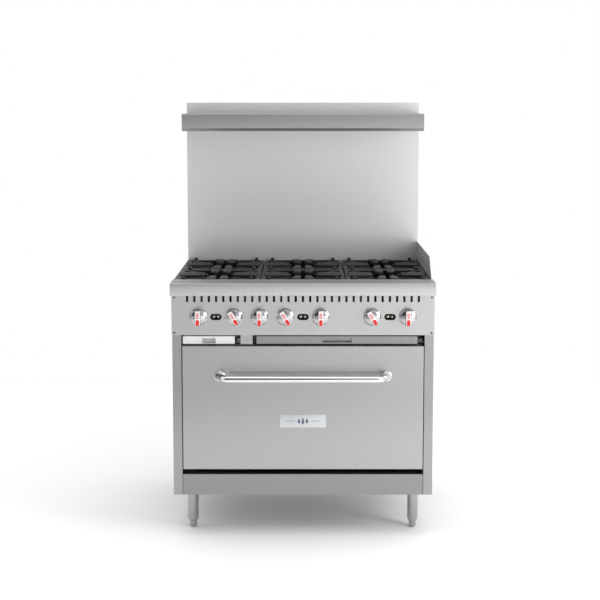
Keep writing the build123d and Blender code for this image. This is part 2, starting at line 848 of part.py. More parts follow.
# Fixed pieces of the tray band: the divider channel with its face, four ledges and two end stops.
with BuildPart() as tray_runners:
    slab(divider, (y_face + runner_front, y_face + runner_front + sheet), (z_tray, z_panel))
    for edge, inward in ((divider[0], 1), (divider[1], -1)):
        runner_span = (y_face + runner_front, y_face + runner_depth)
        slab((edge, edge + inward * sheet), runner_span, (z_runner, z_tray + runner_rise))
    ledges = (
        (-jamb_x, tray_left[0] + runner_reach),
        (tray_left[1] - runner_reach, divider_x - runner_reach),
        (divider_x + runner_reach, tray_right[0] + runner_reach),
        (tray_right[1] - runner_reach, jamb_x),
    )
    for ledge in ledges:
        slab(ledge, (y_liner, y_face + runner_depth), (z_runner - runner_thickness, z_runner))
    for stop in ((tray_left[1] + 8, divider[0]), (tray_right[1] + 6, jamb_x - 4)):
        slab(stop, (y_liner, y_liner + sheet), (z_runner, z_tray + stop_rise))
tray_runners.part.label = "tray_runners"
export_step(tray_runners.part, "parts/tray_runners.step")

# Flat shield between the burner box and the oven, with a hole for the gas pipe.
with BuildPart() as heat_shield:
    slab((-jamb_x, jamb_x), (y_liner, y_face + runner_depth + 8), (z_shield, z_shield + sheet))
    rod(
        (divider_x, pipe_y, z_shield - 1),
        (divider_x, pipe_y, z_shield + sheet + 1),
        gas_pipe_radius + 2,
        mode=Mode.SUBTRACT,
    )
heat_shield.part.label = "heat_shield"
export_step(heat_shield.part, "parts/heat_shield.step")

# ---------------------------------------------------------------- oven
# Four flat members round the oven's mouth.
with BuildPart() as oven_frame:
    span = (y_frame, y_liner)
    reach = jamb_x + sheet
    slab((-reach, reach), span, (oven_ceiling, z_shield + sheet))
    slab((-reach, reach), span, (z_door + 4, oven_floor))
    for side in (-1, 1):
        slab((side * oven_half, side * reach), span, (oven_floor, oven_ceiling))
oven_frame.part.label = "oven_frame"
export_step(oven_frame.part, "parts/oven_frame.step")

# Enamelled box, open in front and underneath, with ledges for the deck and an outlet in its back.
with BuildPart() as oven_liner:
    roof_span = (oven_ceiling, oven_ceiling + liner_wall)
    deck_z = oven_floor - deck_gap - plate
    slab((-liner_half, liner_half), (y_liner, y_oven_back), roof_span)
    slab((-liner_half, liner_half), (y_oven_back, y_oven_back + liner_wall), (z_pan, roof_span[1]))
    for side in (-1, 1):
        wall = side * oven_half
        slab((wall, side * liner_half), (y_liner, y_oven_back), (z_pan, oven_ceiling))
        slab((wall, wall - side * deck_ledge), (y_liner, y_oven_back), (deck_z - liner_wall, deck_z))
    slab(
        (10 - flue_half, flue_half - 10),
        (y_oven_back - 1, y_oven_back + liner_wall + 1),
        (oven_ceiling - 34, oven_ceiling - 10),
        mode=Mode.SUBTRACT,
    )
    rod(
        (-liner_half - 1, pipe_y, burner_axis),
        (2 - oven_half, pipe_y, burner_axis),
        jet_pipe_radius + 3,
        mode=Mode.SUBTRACT,
    )
oven_liner.part.label = "oven_liner"
export_step(oven_liner.part, "parts/oven_liner.step")

# Lift-out oven floor with heat slots along both sides and two finger holes.
with BuildPart() as oven_deck:
    deck_top = oven_floor - deck_gap
    deck_span = (y_liner + deck_edge_gap, y_oven_back - deck_edge_gap)
    slab((2 - oven_half, oven_half - 2), deck_span, (deck_z, deck_top))
    with BuildSketch(Plane.XY.offset(deck_top)):
        for side in (-1, 1):
            with Locations((side * (oven_half - deck_slot_inset), (y_frame + y_oven_back) / 2)):
                with GridLocations(1, deck_slot_pitch, 1, deck_slot_count):
                    SlotOverall(*deck_slot, rotation=90)
        with Locations((0, y_frame + lifting_hole_setback)):
            with GridLocations(lifting_hole_pitch, 1, 2, 1):
                Circle(lifting_hole_radius)
    extrude(amount=2 * plate, both=True, mode=Mode.SUBTRACT)
oven_deck.part.label = "oven_deck"
export_step(oven_deck.part, "parts/oven_deck.step")

# U-shaped tube burner under the deck: mouth at the front left, ports along its top, three feet on the pan.
with BuildPart() as oven_burner:
    front = y_frame + burner_setback
    back = y_oven_back - burner_back_gap
    left_mouth = (-burner_half, front, burner_axis)
    corners = [(-burner_half, back, burner_axis), (burner_half, back, burner_axis)]
    right_end = (burner_half, front, burner_axis)
    rod(left_mouth, corners[0], burner_tube)
    rod(corners[0], corners[1], burner_tube)
    rod(right_end, corners[1], burner_tube)
    mouth = (-burner_half, front - burner_mouth, burner_axis)
    rod(mouth, (-burner_half, front + 6, burner_axis), burner_tube + 4)
    for corner in corners:
        with Locations(corner):
            Sphere(burner_tube)
    rod(mouth, corners[0], burner_bore, mode=Mode.SUBTRACT)
    rod(corners[0], corners[1], burner_bore, mode=Mode.SUBTRACT)
    rod((burner_half, front + 4, burner_axis), corners[1], burner_bore, mode=Mode.SUBTRACT)
    for side in (-1, 1):
        with Locations((side * burner_half, (front + back) / 2 + 15, burner_axis + burner_tube)):
            with GridLocations(1, burner_port_pitch, 1, burner_port_count):
                Cylinder(burner_port_radius, 2 * pipe_wall_cut, mode=Mode.SUBTRACT)
    for x, y in ((-burner_half, front + 60), (burner_half, front + 60), (0, back)):
        rod((x, y, z_pan), (x, y, burner_axis - burner_bore - 1), burner_post_radius)
oven_burner.part.label = "oven_burner"
export_step(oven_burner.part, "parts/oven_burner.step")

# Ladder on each oven wall, with as many ledges for the rack as the oven's height takes.
rack_seat = rack_height - rim_wire / 2 - moving_gap
with BuildPart() as rack_guides:
    span = (y_frame + guide_front_gap, y_oven_back - guide_back_gap)
    ladder = (oven_floor + guide_floor_gap, oven_ceiling - guide_ceiling_gap)
    seats_below = int((rack_seat - plate - ladder[0]) // rack_pitch)
    seats_above = int((ladder[1] - rack_seat) // rack_pitch)
    for side in (-1, 1):
        wall = side * oven_half
        slab((wall, wall - side * liner_wall), span, ladder)
        for level in range(-seats_below, seats_above + 1):
            seat = rack_seat + level * rack_pitch
            slab((wall, wall - side * guide_reach), span, (seat - plate, seat))
rack_guides.part.label = "rack_guides"
export_step(rack_guides.part, "parts/rack_guides.step")

# Wire rack: a round rim, one cross stay and a row of front-to-back wires.
with BuildPart() as oven_rack:
    reach = oven_half - rack_side_gap
    front = y_frame + rack_setback
    back = front + rack_depth
    for side in (-1, 1):
        rod((side * reach, front, rack_height), (side * reach, back, rack_height), rim_wire / 2)
        for y in (front, back):
            with Locations((side * reach, y, rack_height)):
                Sphere(rim_wire / 2)
    for y in (front, (front + back) / 2, back):
        rod((-reach, y, rack_height), (reach, y, rack_height), rim_wire / 2)
    lift = rack_height + (rim_wire + rack_wire) / 2 - 0.8
    for number in range(rack_wires):
        x = reach * (2 * (number + 1) / (rack_wires + 1) - 1)
        rod((x, front - 1, lift), (x, back + 1, lift), rack_wire / 2)
oven_rack.part.label = "oven_rack"
export_step(oven_rack.part, "parts/oven_rack.step")

# Mineral wool slabs on the liner's roof, sides and back.
with BuildPart() as oven_wool:
    outer = liner_half + wool_thickness
    low = z_door
    roof = oven_ceiling + liner_wall
    wool_back = y_oven_back + liner_wall
    slab((-outer, outer), (y_liner, wool_back), (roof, roof + 19))
    for side in (-1, 1):
        slab((side * liner_half, side * outer), (y_liner, wool_back), (low, roof))
    slab((-outer, outer), (wool_back, wool_back + wool_thickness), (low, oven_ceiling - 60))
oven_wool.part.label = "oven_wool"
export_step(oven_wool.part, "parts/oven_wool.step")

# Rectangular duct from the liner's outlet back into the riser and up behind its front sheet.
with BuildPart() as oven_flue:
    duct_y = (y_riser + sheet + 2, y_back - sheet - flue_gap)
    elbow_z = (oven_ceiling - 50, oven_ceiling + 10)
    duct_top = cooktop_height + flue_rise
    reach = (-flue_half, flue_half)
    slab(reach, (wool_back, duct_y[1]), (elbow_z[0] - sheet, elbow_z[0]))
    slab(reach, (wool_back, duct_y[0]), (elbow_z[1], elbow_z[1] + sheet))
    slab(reach, (duct_y[0], duct_y[0] + sheet), (elbow_z[1], duct_top))
    slab(reach, (duct_y[1] - sheet, duct_y[1]), (elbow_z[0], duct_top))
    for side in (-1, 1):
        wall = (side * flue_half, side * (flue_half - sheet))
        slab(wall, (wool_back, duct_y[1]), elbow_z)
        slab(wall, duct_y, (elbow_z[1], duct_top))
oven_flue.part.label = "oven_flue"
export_step(oven_flue.part, "parts/oven_flue.step")

# Flat woven seal in four lengths round the oven's mouth.
with BuildPart() as door_gasket:
    span = (y_door_back + moving_gap, y_frame)
    outer = oven_half + gasket_width
    slab((-outer, outer), span, (oven_ceiling, oven_ceiling + gasket_width))
    slab((-outer, outer), span, (oven_floor - gasket_width, oven_floor))
    for side in (-1, 1):
        slab((side * oven_half, side * outer), span, (oven_floor, oven_ceiling))
door_gasket.part.label = "door_gasket"
export_step(door_gasket.part, "parts/door_gasket.step")

# ---------------------------------------------------------------- door
# Outer skin: a shallow pan with returns all round, pin holes low in its sides and two screw holes.
door_span = (-door_half, door_half)
y_cover = y_door_back - door_sheet
with BuildPart() as door_skin:
    slab(door_span, (y_door, y_cover), (z_door, z_door_top))
    fillet(door_skin.edges().group_by(Axis.Y)[0], 2.0)
    slab(
        (door_sheet - door_half, door_half - door_sheet),
        (y_door + door_sheet, y_cover + 1),
        (z_door + door_sheet, z_door_top - door_sheet),
        mode=Mode.SUBTRACT,
    )
    for side in (-1, 1):
        rod(
            (side * (door_half - 8), y_hinge, z_hinge),
            (side * (door_half + 2), y_hinge, z_hinge),
            hinge_radius,
            mode=Mode.SUBTRACT,
        )
        rod(
            (side * handle_foot, y_door - 1, handle_height),
            (side * handle_foot, y_door + 3, handle_height),
            handle_bolt_radius + bolt_clearance,
            mode=Mode.SUBTRACT,
        )
door_skin.part.label = "door_skin"
export_step(door_skin.part, "parts/door_skin.step")

# Inner sheet that closes the pan, with the raised plug that fills the oven's mouth.
with BuildPart() as door_liner:
    plug_half = oven_half - plug_gap
    plug_z = (oven_floor + plug_gap, oven_ceiling - plug_gap)
    slab(door_span, (y_cover, y_door_back), (z_door, z_door_top))
    slab((-plug_half, plug_half), (y_cover, y_door_back + plug_depth), plug_z)
    slab(
        (door_sheet - plug_half, plug_half - door_sheet),
        (y_cover - 1, y_door_back + plug_depth - door_sheet),
        (plug_z[0] + door_sheet, plug_z[1] - door_sheet),
        mode=Mode.SUBTRACT,
    )
door_liner.part.label = "door_liner"
export_step(door_liner.part, "parts/door_liner.step")

# Wool block inside the door, cut out round the handle's screws.
with BuildPart() as door_wool:
    slab(
        (28 - door_half, door_half - 28),
        (y_door + door_sheet, y_cover),
        (z_door + 34, z_door_top - 12),
    )
    for side in (-1, 1):
        rod(
            (side * handle_foot, y_door, handle_height),
            (side * handle_foot, y_door + 18, handle_height),
            12,
            mode=Mode.SUBTRACT,
        )
door_wool.part.label = "door_wool"
export_step(door_wool.part, "parts/door_wool.step")

# Bent tube whose ends splay out to the door, with a round cap and a screw at each end.
with BuildPart() as door_handle:
    bar = y_door - handle_reach
    bent_rod(
        [
            (-handle_foot, y_door - 4, handle_height),
            (-handle_corner, bar, handle_height),
            (handle_corner, bar, handle_height),
            (handle_foot, y_door - 4, handle_height),
        ],
        handle_bend,
        handle_radius,
    )
    slab(
        (-handle_foot - 40, handle_foot + 40),
        (y_door, y_door + 20),
        (handle_height - 30, handle_height + 30),
        mode=Mode.SUBTRACT,
    )
    for side in (-1, 1):
        foot_x = side * handle_foot
        rod(
            (foot_x, y_door, handle_height),
            (foot_x, y_door - handle_cap_depth, handle_height),
            handle_cap_radius,
        )
        bolt_end = (foot_x, y_door + handle_bolt_length, handle_height)
        rod((foot_x, y_door - 1, handle_height), bolt_end, handle_bolt_radius)
        rod((foot_x, y_door + door_sheet, handle_height), bolt_end, handle_nut_radius)
door_handle.part.label = "door_handle"
export_step(door_handle.part, "parts/door_handle.step")

# Blank badge plate on the door.
with BuildPart() as badge_plate:
    slab(
        (-badge_width / 2, badge_width / 2),
        (y_door - badge_thickness, y_door),
        (badge_centre - badge_height / 2, badge_centre + badge_height / 2),
    )
    chamfer(badge_plate.edges().group_by(Axis.Y)[0], badge_chamfer)
badge_plate.part.label = "badge_plate"
export_step(badge_plate.part, "parts/badge_plate.step")

# Pivot pin, inner strap and spring lever at each lower corner of the door.
lever_x = jamb_x + sheet + bracket_thickness + 2
with BuildPart() as hinge_pins:
    for side in (-1, 1):
        strap = side * (door_half - 12)
        rod((strap, y_hinge, z_hinge), (side * lever_x, y_hinge, z_hinge), hinge_radius)
        slab((strap, strap - side * 4), (y_hinge - 9, y_cover), (z_hinge - 9, z_hinge + 60))
        slab(
            (side * lever_x, side * (lever_x + 3)),
            (y_hinge - 7, y_hinge + lever_length + 6),
            (z_hinge - 7, z_hinge + 7),
        )
hinge_pins.part.label = "hinge_pins"
export_step(hinge_pins.part, "parts/hinge_pins.step")

# Bearing plate for each pivot pin, fixed to the back of the jamb.
with BuildPart() as hinge_brackets:
    for side in (-1, 1):
        inner = side * (jamb_x + sheet)
        slab(
            (inner, inner + side * bracket_thickness),
            (y_face + sheet, y_hinge + 20),
            (z_hinge - 30, z_hinge + 30),
        )
        rod(
            (inner - side, y_hinge, z_hinge),
            (inner + side * (bracket_thickness + 1), y_hinge, z_hinge),
            hinge_radius + hinge_clearance,
            mode=Mode.SUBTRACT,
        )
hinge_brackets.part.label = "hinge_brackets"
export_step(hinge_brackets.part, "parts/hinge_brackets.step")

# Counterbalance springs, close-wound, standing on the base pan under each lever.
with BuildPart() as door_springs:
    spring_top = z_hinge - 8
    coil = spring_top - z_pan - 8
    for side in (-1, 1):
        x = side * (lever_x + 1.5)
        y = y_hinge + lever_length
        rod((x, y, z_pan), (x, y, spring_top), spring_radius - spring_wire)
        rod((x, y, z_pan), (x, y, z_pan + 4), spring_radius)
        rod((x, y, spring_top - 4), (x, y, spring_top), spring_radius)
        for turn in range(spring_turns):
            z = z_pan + 4 + (turn + 0.5) * coil / spring_turns
            with Locations((x, y, z)):
                Torus(spring_radius - spring_wire, spring_wire)
door_springs.part.label = "door_springs"
export_step(door_springs.part, "parts/door_springs.step")

# ---------------------------------------------------------------- knobs
# Round base with a raised grip across it, hollow behind, and a boss with a blind bore for the stem.
for number, x in enumerate(knob_places, start=1):
    with BuildPart() as knob:
        with BuildSketch(Plane((x, knob_back, knob_height), z_dir=(0, -1, 0))):
            Circle(knob_radius)
        extrude(amount=knob_base, taper=knob_taper)
        turn = simmer_turn if number in simmer_knobs else 0
        grip_origin = (x, knob_back - knob_base + grip_overlap, knob_height)
        with BuildSketch(Plane(grip_origin, x_dir=(1, 0, 0), z_dir=(0, -1, 0))):
            RectangleRounded(grip_width, 2 * knob_radius - grip_inset, grip_corner, rotation=turn)
        extrude(amount=knob_depth - knob_base + grip_overlap, taper=grip_taper)
        rod(
            (x, knob_back, knob_height),
            (x, knob_back - knob_base + 4, knob_height),
            knob_radius - knob_wall - 2,
            mode=Mode.SUBTRACT,
        )
        rod((x, knob_back, knob_height), (x, knob_back - knob_base, knob_height), knob_boss_radius)
        rod(
            (x, knob_back, knob_height),
            (x, stem_front - stem_end_gap, knob_height),
            stem_radius + stem_clearance,
            mode=Mode.SUBTRACT,
        )
    knob.part.label = f"knob_{number}"
    export_step(knob.part, f"parts/knob_{number}.step")

# ---------------------------------------------------------------- riser and shelf
# Backsplash sheet with its sides and its top folded to the back.
with BuildPart() as riser_front:
    slab((-half, half), (y_riser, y_riser + sheet), (z_ledge, z_riser))
    slab((-half, half), (y_riser, y_back - sheet), (z_riser - sheet, z_riser))
    for side in (-1, 1):
        slab((side * half, side * (half - sheet)), (y_riser, y_back - sheet), (z_ledge, z_riser))
riser_front.part.label = "riser_front"
export_step(riser_front.part, "parts/riser_front.step")

# Rear cover of the riser with two rows of flue outlets near its top.
with BuildPart() as riser_back:
    slab((-half, half), (y_back - sheet, y_back), (z_ledge, z_riser))
    with BuildSketch(Plane.XZ.offset(-y_back)):
        with Locations((0, z_riser - 90)):
            with GridLocations(75, 40, 10, 2):
                SlotOverall(55, 14)
    extrude(amount=2 * sheet, both=True, mode=Mode.SUBTRACT)
riser_back.part.label = "riser_back"
export_step(riser_back.part, "parts/riser_back.step")

# Folded shelf: top, front apron with a turned-in lip, closed ends and two gussets underneath.
with BuildPart() as high_shelf:
    y_shelf = y_riser - shelf_depth
    lip_y = y_shelf + lip_slope * shelf_lip
    with BuildSketch(Plane.YZ.offset(-half)):
        with BuildLine():
            Polyline(
                (y_riser, z_shelf),
                (y_shelf, z_shelf),
                (y_shelf, z_apron),
                (lip_y, z_apron - shelf_lip),
                (lip_y + plate, z_apron - shelf_lip),
                (y_shelf + plate, z_apron + 1),
                (y_shelf + plate, z_shelf - plate),
                (y_riser, z_shelf - plate),
                close=True,
            )
        make_face()
    extrude(amount=width)
    for side in (-1, 1):
        slab((side * half, side * (half - sheet)), (y_shelf, y_riser), (z_apron, z_shelf))
        with BuildSketch(Plane.YZ.offset(side * gusset_place)):
            with BuildLine():
                Polyline(
                    (y_riser, z_shelf - plate),
                    (y_riser - gusset_reach, z_shelf - plate),
                    (y_riser, z_apron),
                    close=True,
                )
            make_face()
        extrude(amount=plate)
high_shelf.part.label = "high_shelf"
export_step(high_shelf.part, "parts/high_shelf.step")

# ---------------------------------------------------------------- legs and feet
# Tube legs with a top plate, a coned lower end and a bore for the foot's stud.
with BuildPart() as legs:
    for x, y in leg_places:
        rod((x, y, foot_show + leg_cone), (x, y, z_base), leg_radius)
        with Locations((x, y, foot_show + leg_cone / 2)):
            Cone(foot_radius + leg_cone_lip, leg_radius, leg_cone)
        slab(
            (x - leg_plate / 2, x + leg_plate / 2),
            (y - leg_plate / 2, y + leg_plate / 2),
            (z_base - leg_plate_thickness, z_base),
        )
        rod(
            (x, y, foot_show - 1),
            (x, y, foot_show + stud_length + 10),
            stud_radius + stud_clearance,
            mode=Mode.SUBTRACT,
        )
legs.part.label = "legs"
export_step(legs.part, "parts/legs.step")

# Levelling feet: a round shoe with a coned sole and a stud that screws up into the leg.
for number, (x, y) in enumerate(leg_places, start=1):
    with BuildPart() as foot:
        shoulder = foot_show - moving_gap
        with Locations((x, y, foot_sole / 2)):
            Cone(foot_radius - foot_cone, foot_radius, foot_sole)
        rod((x, y, foot_sole), (x, y, shoulder), foot_radius)
        rod((x, y, shoulder), (x, y, shoulder + stud_length), stud_radius)
    foot.part.label = f"foot_{number}"
    export_step(foot.part, f"parts/foot_{number}.step")
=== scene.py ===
"""Commercial gas range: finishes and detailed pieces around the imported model.

Every size is in metres, in the model's own frame: X to the right, Y to the back, Z up.
"""

import math

import bmesh
import bpy
import numpy as np
from bpy.props import FloatProperty, FloatVectorProperty, IntProperty, PointerProperty
from bpy.types import Operator, Panel, PropertyGroup
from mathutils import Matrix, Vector


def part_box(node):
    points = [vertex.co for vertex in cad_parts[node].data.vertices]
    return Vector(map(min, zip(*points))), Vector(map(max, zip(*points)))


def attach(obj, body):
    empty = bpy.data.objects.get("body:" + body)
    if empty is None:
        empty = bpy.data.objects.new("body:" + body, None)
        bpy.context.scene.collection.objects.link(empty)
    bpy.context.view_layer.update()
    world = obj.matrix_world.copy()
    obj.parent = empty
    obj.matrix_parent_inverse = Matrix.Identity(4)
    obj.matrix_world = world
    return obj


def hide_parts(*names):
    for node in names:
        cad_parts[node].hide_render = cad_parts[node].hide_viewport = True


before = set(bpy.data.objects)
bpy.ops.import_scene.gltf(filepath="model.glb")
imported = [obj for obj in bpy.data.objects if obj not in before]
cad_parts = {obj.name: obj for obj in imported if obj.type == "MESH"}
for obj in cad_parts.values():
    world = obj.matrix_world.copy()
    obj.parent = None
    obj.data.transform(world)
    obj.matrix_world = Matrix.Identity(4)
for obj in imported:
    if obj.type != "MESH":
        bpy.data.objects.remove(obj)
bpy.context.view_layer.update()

bl_info = {
    "name": "Commercial gas range",
    "version": (1, 0, 0),
    "blender": (4, 5, 0),
    "location": "View3D > Sidebar > Range",
    "description": "Builds the finishes and the detailed pieces of a six-burner gas range",
    "category": "Object",
}

CABINET = "cabinet"
KNOBS = [f"knob_{i}" for i in range(1, 8)]
TURNED_KNOBS = ("knob_2", "knob_4", "knob_6")
RESTING_TURN = 33.0
GRATES = [f"grate_{place}_{i}" for place in ("front", "back") for i in (1, 2, 3)]
FEET = [f"foot_{i}" for i in range(1, 5)]
MM = 0.001
SHEET = 2 * MM
RIGHT, BACK, UP = (1, 0, 0), (0, 1, 0), (0, 0, 1)
FORWARD = (0, -1, 0)


# ---------------------------------------------------------------- arrays and outlines
def corners_of(box):
    """Lower and upper corner of a box, as arrays."""
    return tuple(np.array(corner, float) for corner in box)


def place_of(node):
    """Middle of a CAD node's box and the lengths of its sides, as arrays."""
    low, high = corners_of(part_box(node))
    return (low + high) / 2, high - low


def unit(vector):
    """A vector of length 1."""
    vector = np.asarray(vector, float)
    return vector / np.linalg.norm(vector)


def rounded(corners, radius, steps=5, closed=True):
    """Corners joined by straight runs and arcs.

    At a corner the path turns from direction d to direction e by an angle t. With n the unit vector at right
    angles to d on the inside, the arc is a + d r sin(s) + n r (1 - cos(s)) for s from 0 to t, and it starts
    r tan(t / 2) before the corner. radius is one number, or one for each corner.
    """
    corners = np.asarray(corners, float)
    count = len(corners)
    radii = np.broadcast_to(np.asarray(radius, float), count)
    points = []
    for i, (corner, r) in enumerate(zip(corners, radii)):
        if not closed and i in (0, count - 1) or r <= 0:
            points.append(corner[None])
            continue
        d = unit(corner - corners[i - 1])
        e = unit(corners[(i + 1) % count] - corner)
        turn = math.acos(np.clip(d @ e, -1, 1))
        if turn < 1e-4:
            points.append(corner[None])
            continue
        n = unit(e - d * (d @ e))
        s = np.linspace(0, turn, steps + 1)[:, None]
        start = corner - d * r * math.tan(turn / 2)
        points.append(start + d * r * np.sin(s) + n * r * (1 - np.cos(s)))
    return np.concatenate(points)


def outward(outline):
    """Outward normals of a closed outline that runs anticlockwise: at each point the mean of its sides' unit
    normals, lengthened at a corner, within limits, so that a move along it shifts both sides alike."""
    after = np.roll(outline, -1, 0) - outline
    side = np.stack([after[:, 1], -after[:, 0]], 1)
    side /= np.linalg.norm(side, axis=1)[:, None]
    mean = side + np.roll(side, 1, 0)
    length = np.linalg.norm(mean, axis=1)[:, None]
    shortest = 1.2
    return mean / length * (2 / np.maximum(length, shortest))


def bevel_rings(depth, bevel, steps=3):
    """Insets and heights of a plate's rings, which round its edges with quarter circles of radius bevel."""
    a = np.linspace(0, math.pi / 2, steps + 1)
    rise = bevel * (1 - np.cos(a))
    inset = bevel * (1 - np.sin(a))
    return np.concatenate([inset, inset[::-1]]), np.concatenate([rise, depth - rise[::-1]])


# ---------------------------------------------------------------- shells: (points, faces)
def grid_faces(rows, columns, wrap_rows=False, wrap_columns=False):
    """Four-sided faces over a grid of points that is numbered row by row."""
    i = np.arange(rows if wrap_rows else rows - 1)
    j = np.arange(columns if wrap_columns else columns - 1)
    i, j = np.meshgrid(i, j, indexing="ij")
    up, right = (i + 1) % rows, (j + 1) % columns
    quads = [i * columns + j, i * columns + right, up * columns + right, up * columns + j]
    return np.stack(quads, -1).reshape(-1, 4).tolist()


def surface(points, wrap_rows=False, wrap_columns=False, caps=False):
    """The shell over a grid of points, with its first and last rows closed by a face each if caps is set."""
    rows, columns = points.shape[:2]
    faces = grid_faces(rows, columns, wrap_rows, wrap_columns)
    if caps:
        faces.append(list(range(columns)))
        faces.append(list(range((rows - 1) * columns, rows * columns)))
    return points.reshape(-1, 3), faces


def lathe(profile, origin, axis, steps=40):
    """A profile of (radius, height) turned round an axis: origin + r cos(t) e + r sin(t) f + h a."""
    profile = np.asarray(profile, float)
    a = unit(axis)
    e = unit(np.cross(a, (0.3, 0.5, 0.81)))
    f = np.cross(a, e)
    t = np.linspace(0, 2 * math.pi, steps, endpoint=False)
    ring = np.cos(t)[:, None] * e + np.sin(t)[:, None] * f
    points = np.asarray(origin) + profile[:, 0, None, None] * ring + profile[:, 1, None, None] * a
    return surface(points, wrap_columns=True, caps=True)


def tube(path, radius, steps=20, closed=False):
    """A circle carried along a path. Each ring lies across the path, in a frame that is turned as little as
    possible from one point to the next: the last ring's first axis, less its part along the path."""
    path = np.asarray(path, float)
    ahead = np.roll(path, -1, 0) - np.roll(path, 1, 0)
    if not closed:
        ahead[0] = path[1] - path[0]
        ahead[-1] = path[-1] - path[-2]
    ahead /= np.linalg.norm(ahead, axis=1)[:, None]
    side = unit(np.cross(ahead[0], (0.12, 0.34, 0.93)))
    sides = []
    for direction in ahead:
        side = unit(side - direction * (side @ direction))
        sides.append(side)
    sides = np.array(sides)
    t = np.linspace(0, 2 * math.pi, steps, endpoint=False)
    ring = np.cos(t)[:, None] * sides[:, None] + np.sin(t)[:, None] * np.cross(ahead, sides)[:, None]
    radii = np.broadcast_to(np.asarray(radius, float), len(path))
    points = path[:, None] + radii[:, None, None] * ring
    return surface(points, wrap_rows=closed, wrap_columns=True, caps=not closed)


def plate(outline, origin, across, up, depth, bevel, steps=3, taper=0.0):
    """A flat piece with rounded edges: its outline is moved in by i and out by h along the plate's normal,
    for each ring's inset i and height h. taper narrows it towards its far face."""
    outline = np.asarray(outline, float)
    across, up = unit(across), unit(up)
    normal = np.cross(across, up)
    inset, rise = bevel_rings(depth, bevel, steps)
    inset = inset + taper * rise / depth
    flat = outline[None] - inset[:, None, None] * outward(outline)[None]
    points = np.asarray(origin) + flat[..., :1] * across + flat[..., 1:] * up + rise[:, None, None] * normal
    return surface(points, wrap_columns=True, caps=True)


def box_outline(width, height, radius, steps=5, middle=(0.0, 0.0)):
    """A rectangle with round corners."""
    x, y = width / 2, height / 2
    corners = np.array([(-x, -y), (x, -y), (x, y), (-x, y)]) + middle
    return rounded(corners, radius, steps)


def sheet_fold(line, thickness, radius, low, high):
    """Sheet metal folded along lines parallel to X: a path in (y, z) with its bends rounded. Each point moved
    along the path's left normal gives the thickness, and the outline is carried from x = low to x = high."""
    line = np.asarray(line, float)
    path = rounded(line, radius, 4, closed=False)
    ahead = np.gradient(path, axis=0)
    left = np.stack([-ahead[:, 1], ahead[:, 0]], 1)
    left /= np.linalg.norm(left, axis=1)[:, None]
    outline = np.concatenate([path, (path + left * thickness)[::-1]])
    x = np.array([low, high])
    points = np.empty((2, len(outline), 3))
    points[..., 0] = x[:, None]
    points[..., 1:] = outline
    return surface(points, wrap_columns=True, caps=True)


def frame_bar(outline, profile, height):
    """A bar round a closed outline: its section is a closed list of (out, up), and a point is the outline's
    point + out times the outline's outward normal, at height + up."""
    profile = np.asarray(profile, float)
    flat = outline[:, None] + outward(outline)[:, None] * profile[None, :, :1]
    points = np.empty((len(outline), len(profile), 3))
    points[..., :2] = flat
    points[..., 2] = height + profile[None, :, 1]
    return surface(points, wrap_rows=True, wrap_columns=True)


def turned(shell, centre, axis, degrees):
    """A shell turned about an axis through a centre, by Rodrigues' formula:
    p cos t + (a x p) sin t + a (a . p) (1 - cos t)."""
    points, faces = shell
    a, t = unit(axis), math.radians(degrees)
    p = points - centre
    p = p * math.cos(t) + np.cross(a, p) * math.sin(t) + np.outer(p @ a, a) * (1 - math.cos(t))
    return p + centre, faces


def mesh_of(name, shells, sharp):
    """One mesh from closed shells: welded, faces turned outwards, and smooth up to an angle in degrees."""
    points, faces, start = [], [], 0
    for shell_points, shell_faces in shells:
        points.append(shell_points)
        faces.extend([[start + i for i in face] for face in shell_faces])
        start += len(shell_points)
    mesh = bpy.data.meshes.new(name)
    mesh.from_pydata(np.concatenate(points).tolist(), [], faces)
    work = bmesh.new()
    work.from_mesh(mesh)
    bmesh.ops.remove_doubles(work, verts=work.verts, dist=1e-6)
    bmesh.ops.dissolve_degenerate(work, edges=work.edges, dist=1e-7)
    bmesh.ops.recalc_face_normals(work, faces=work.faces)
    work.to_mesh(mesh)
    work.free()
    mesh.polygons.foreach_set("use_smooth", np.ones(len(mesh.polygons), bool))
    mesh.set_sharp_from_angle(angle=math.radians(sharp))
    return mesh


def piece(name, shells, material, body, nodes=(), sharp=35.0, top=None):
    """One object that rides on a CAD body, in place of nodes if any are given. Faces that look straight up
    take the material top, if there is one: a darker copy of the finish that paints shade on them."""
    mesh = mesh_of(name, shells, sharp)
    mesh.materials.append(material)
    if top:
        mesh.materials.append(top)
        normals = np.empty(3 * len(mesh.polygons))
        mesh.polygons.foreach_get("normal", normals)
        mesh.polygons.foreach_set("material_index", (normals[2::3] > 0.9).astype(np.int32))
    made = bpy.data.objects.new(name, mesh)
    bpy.context.scene.collection.objects.link(made)
    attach(made, body)
    if nodes:
        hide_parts(*nodes)
    return made


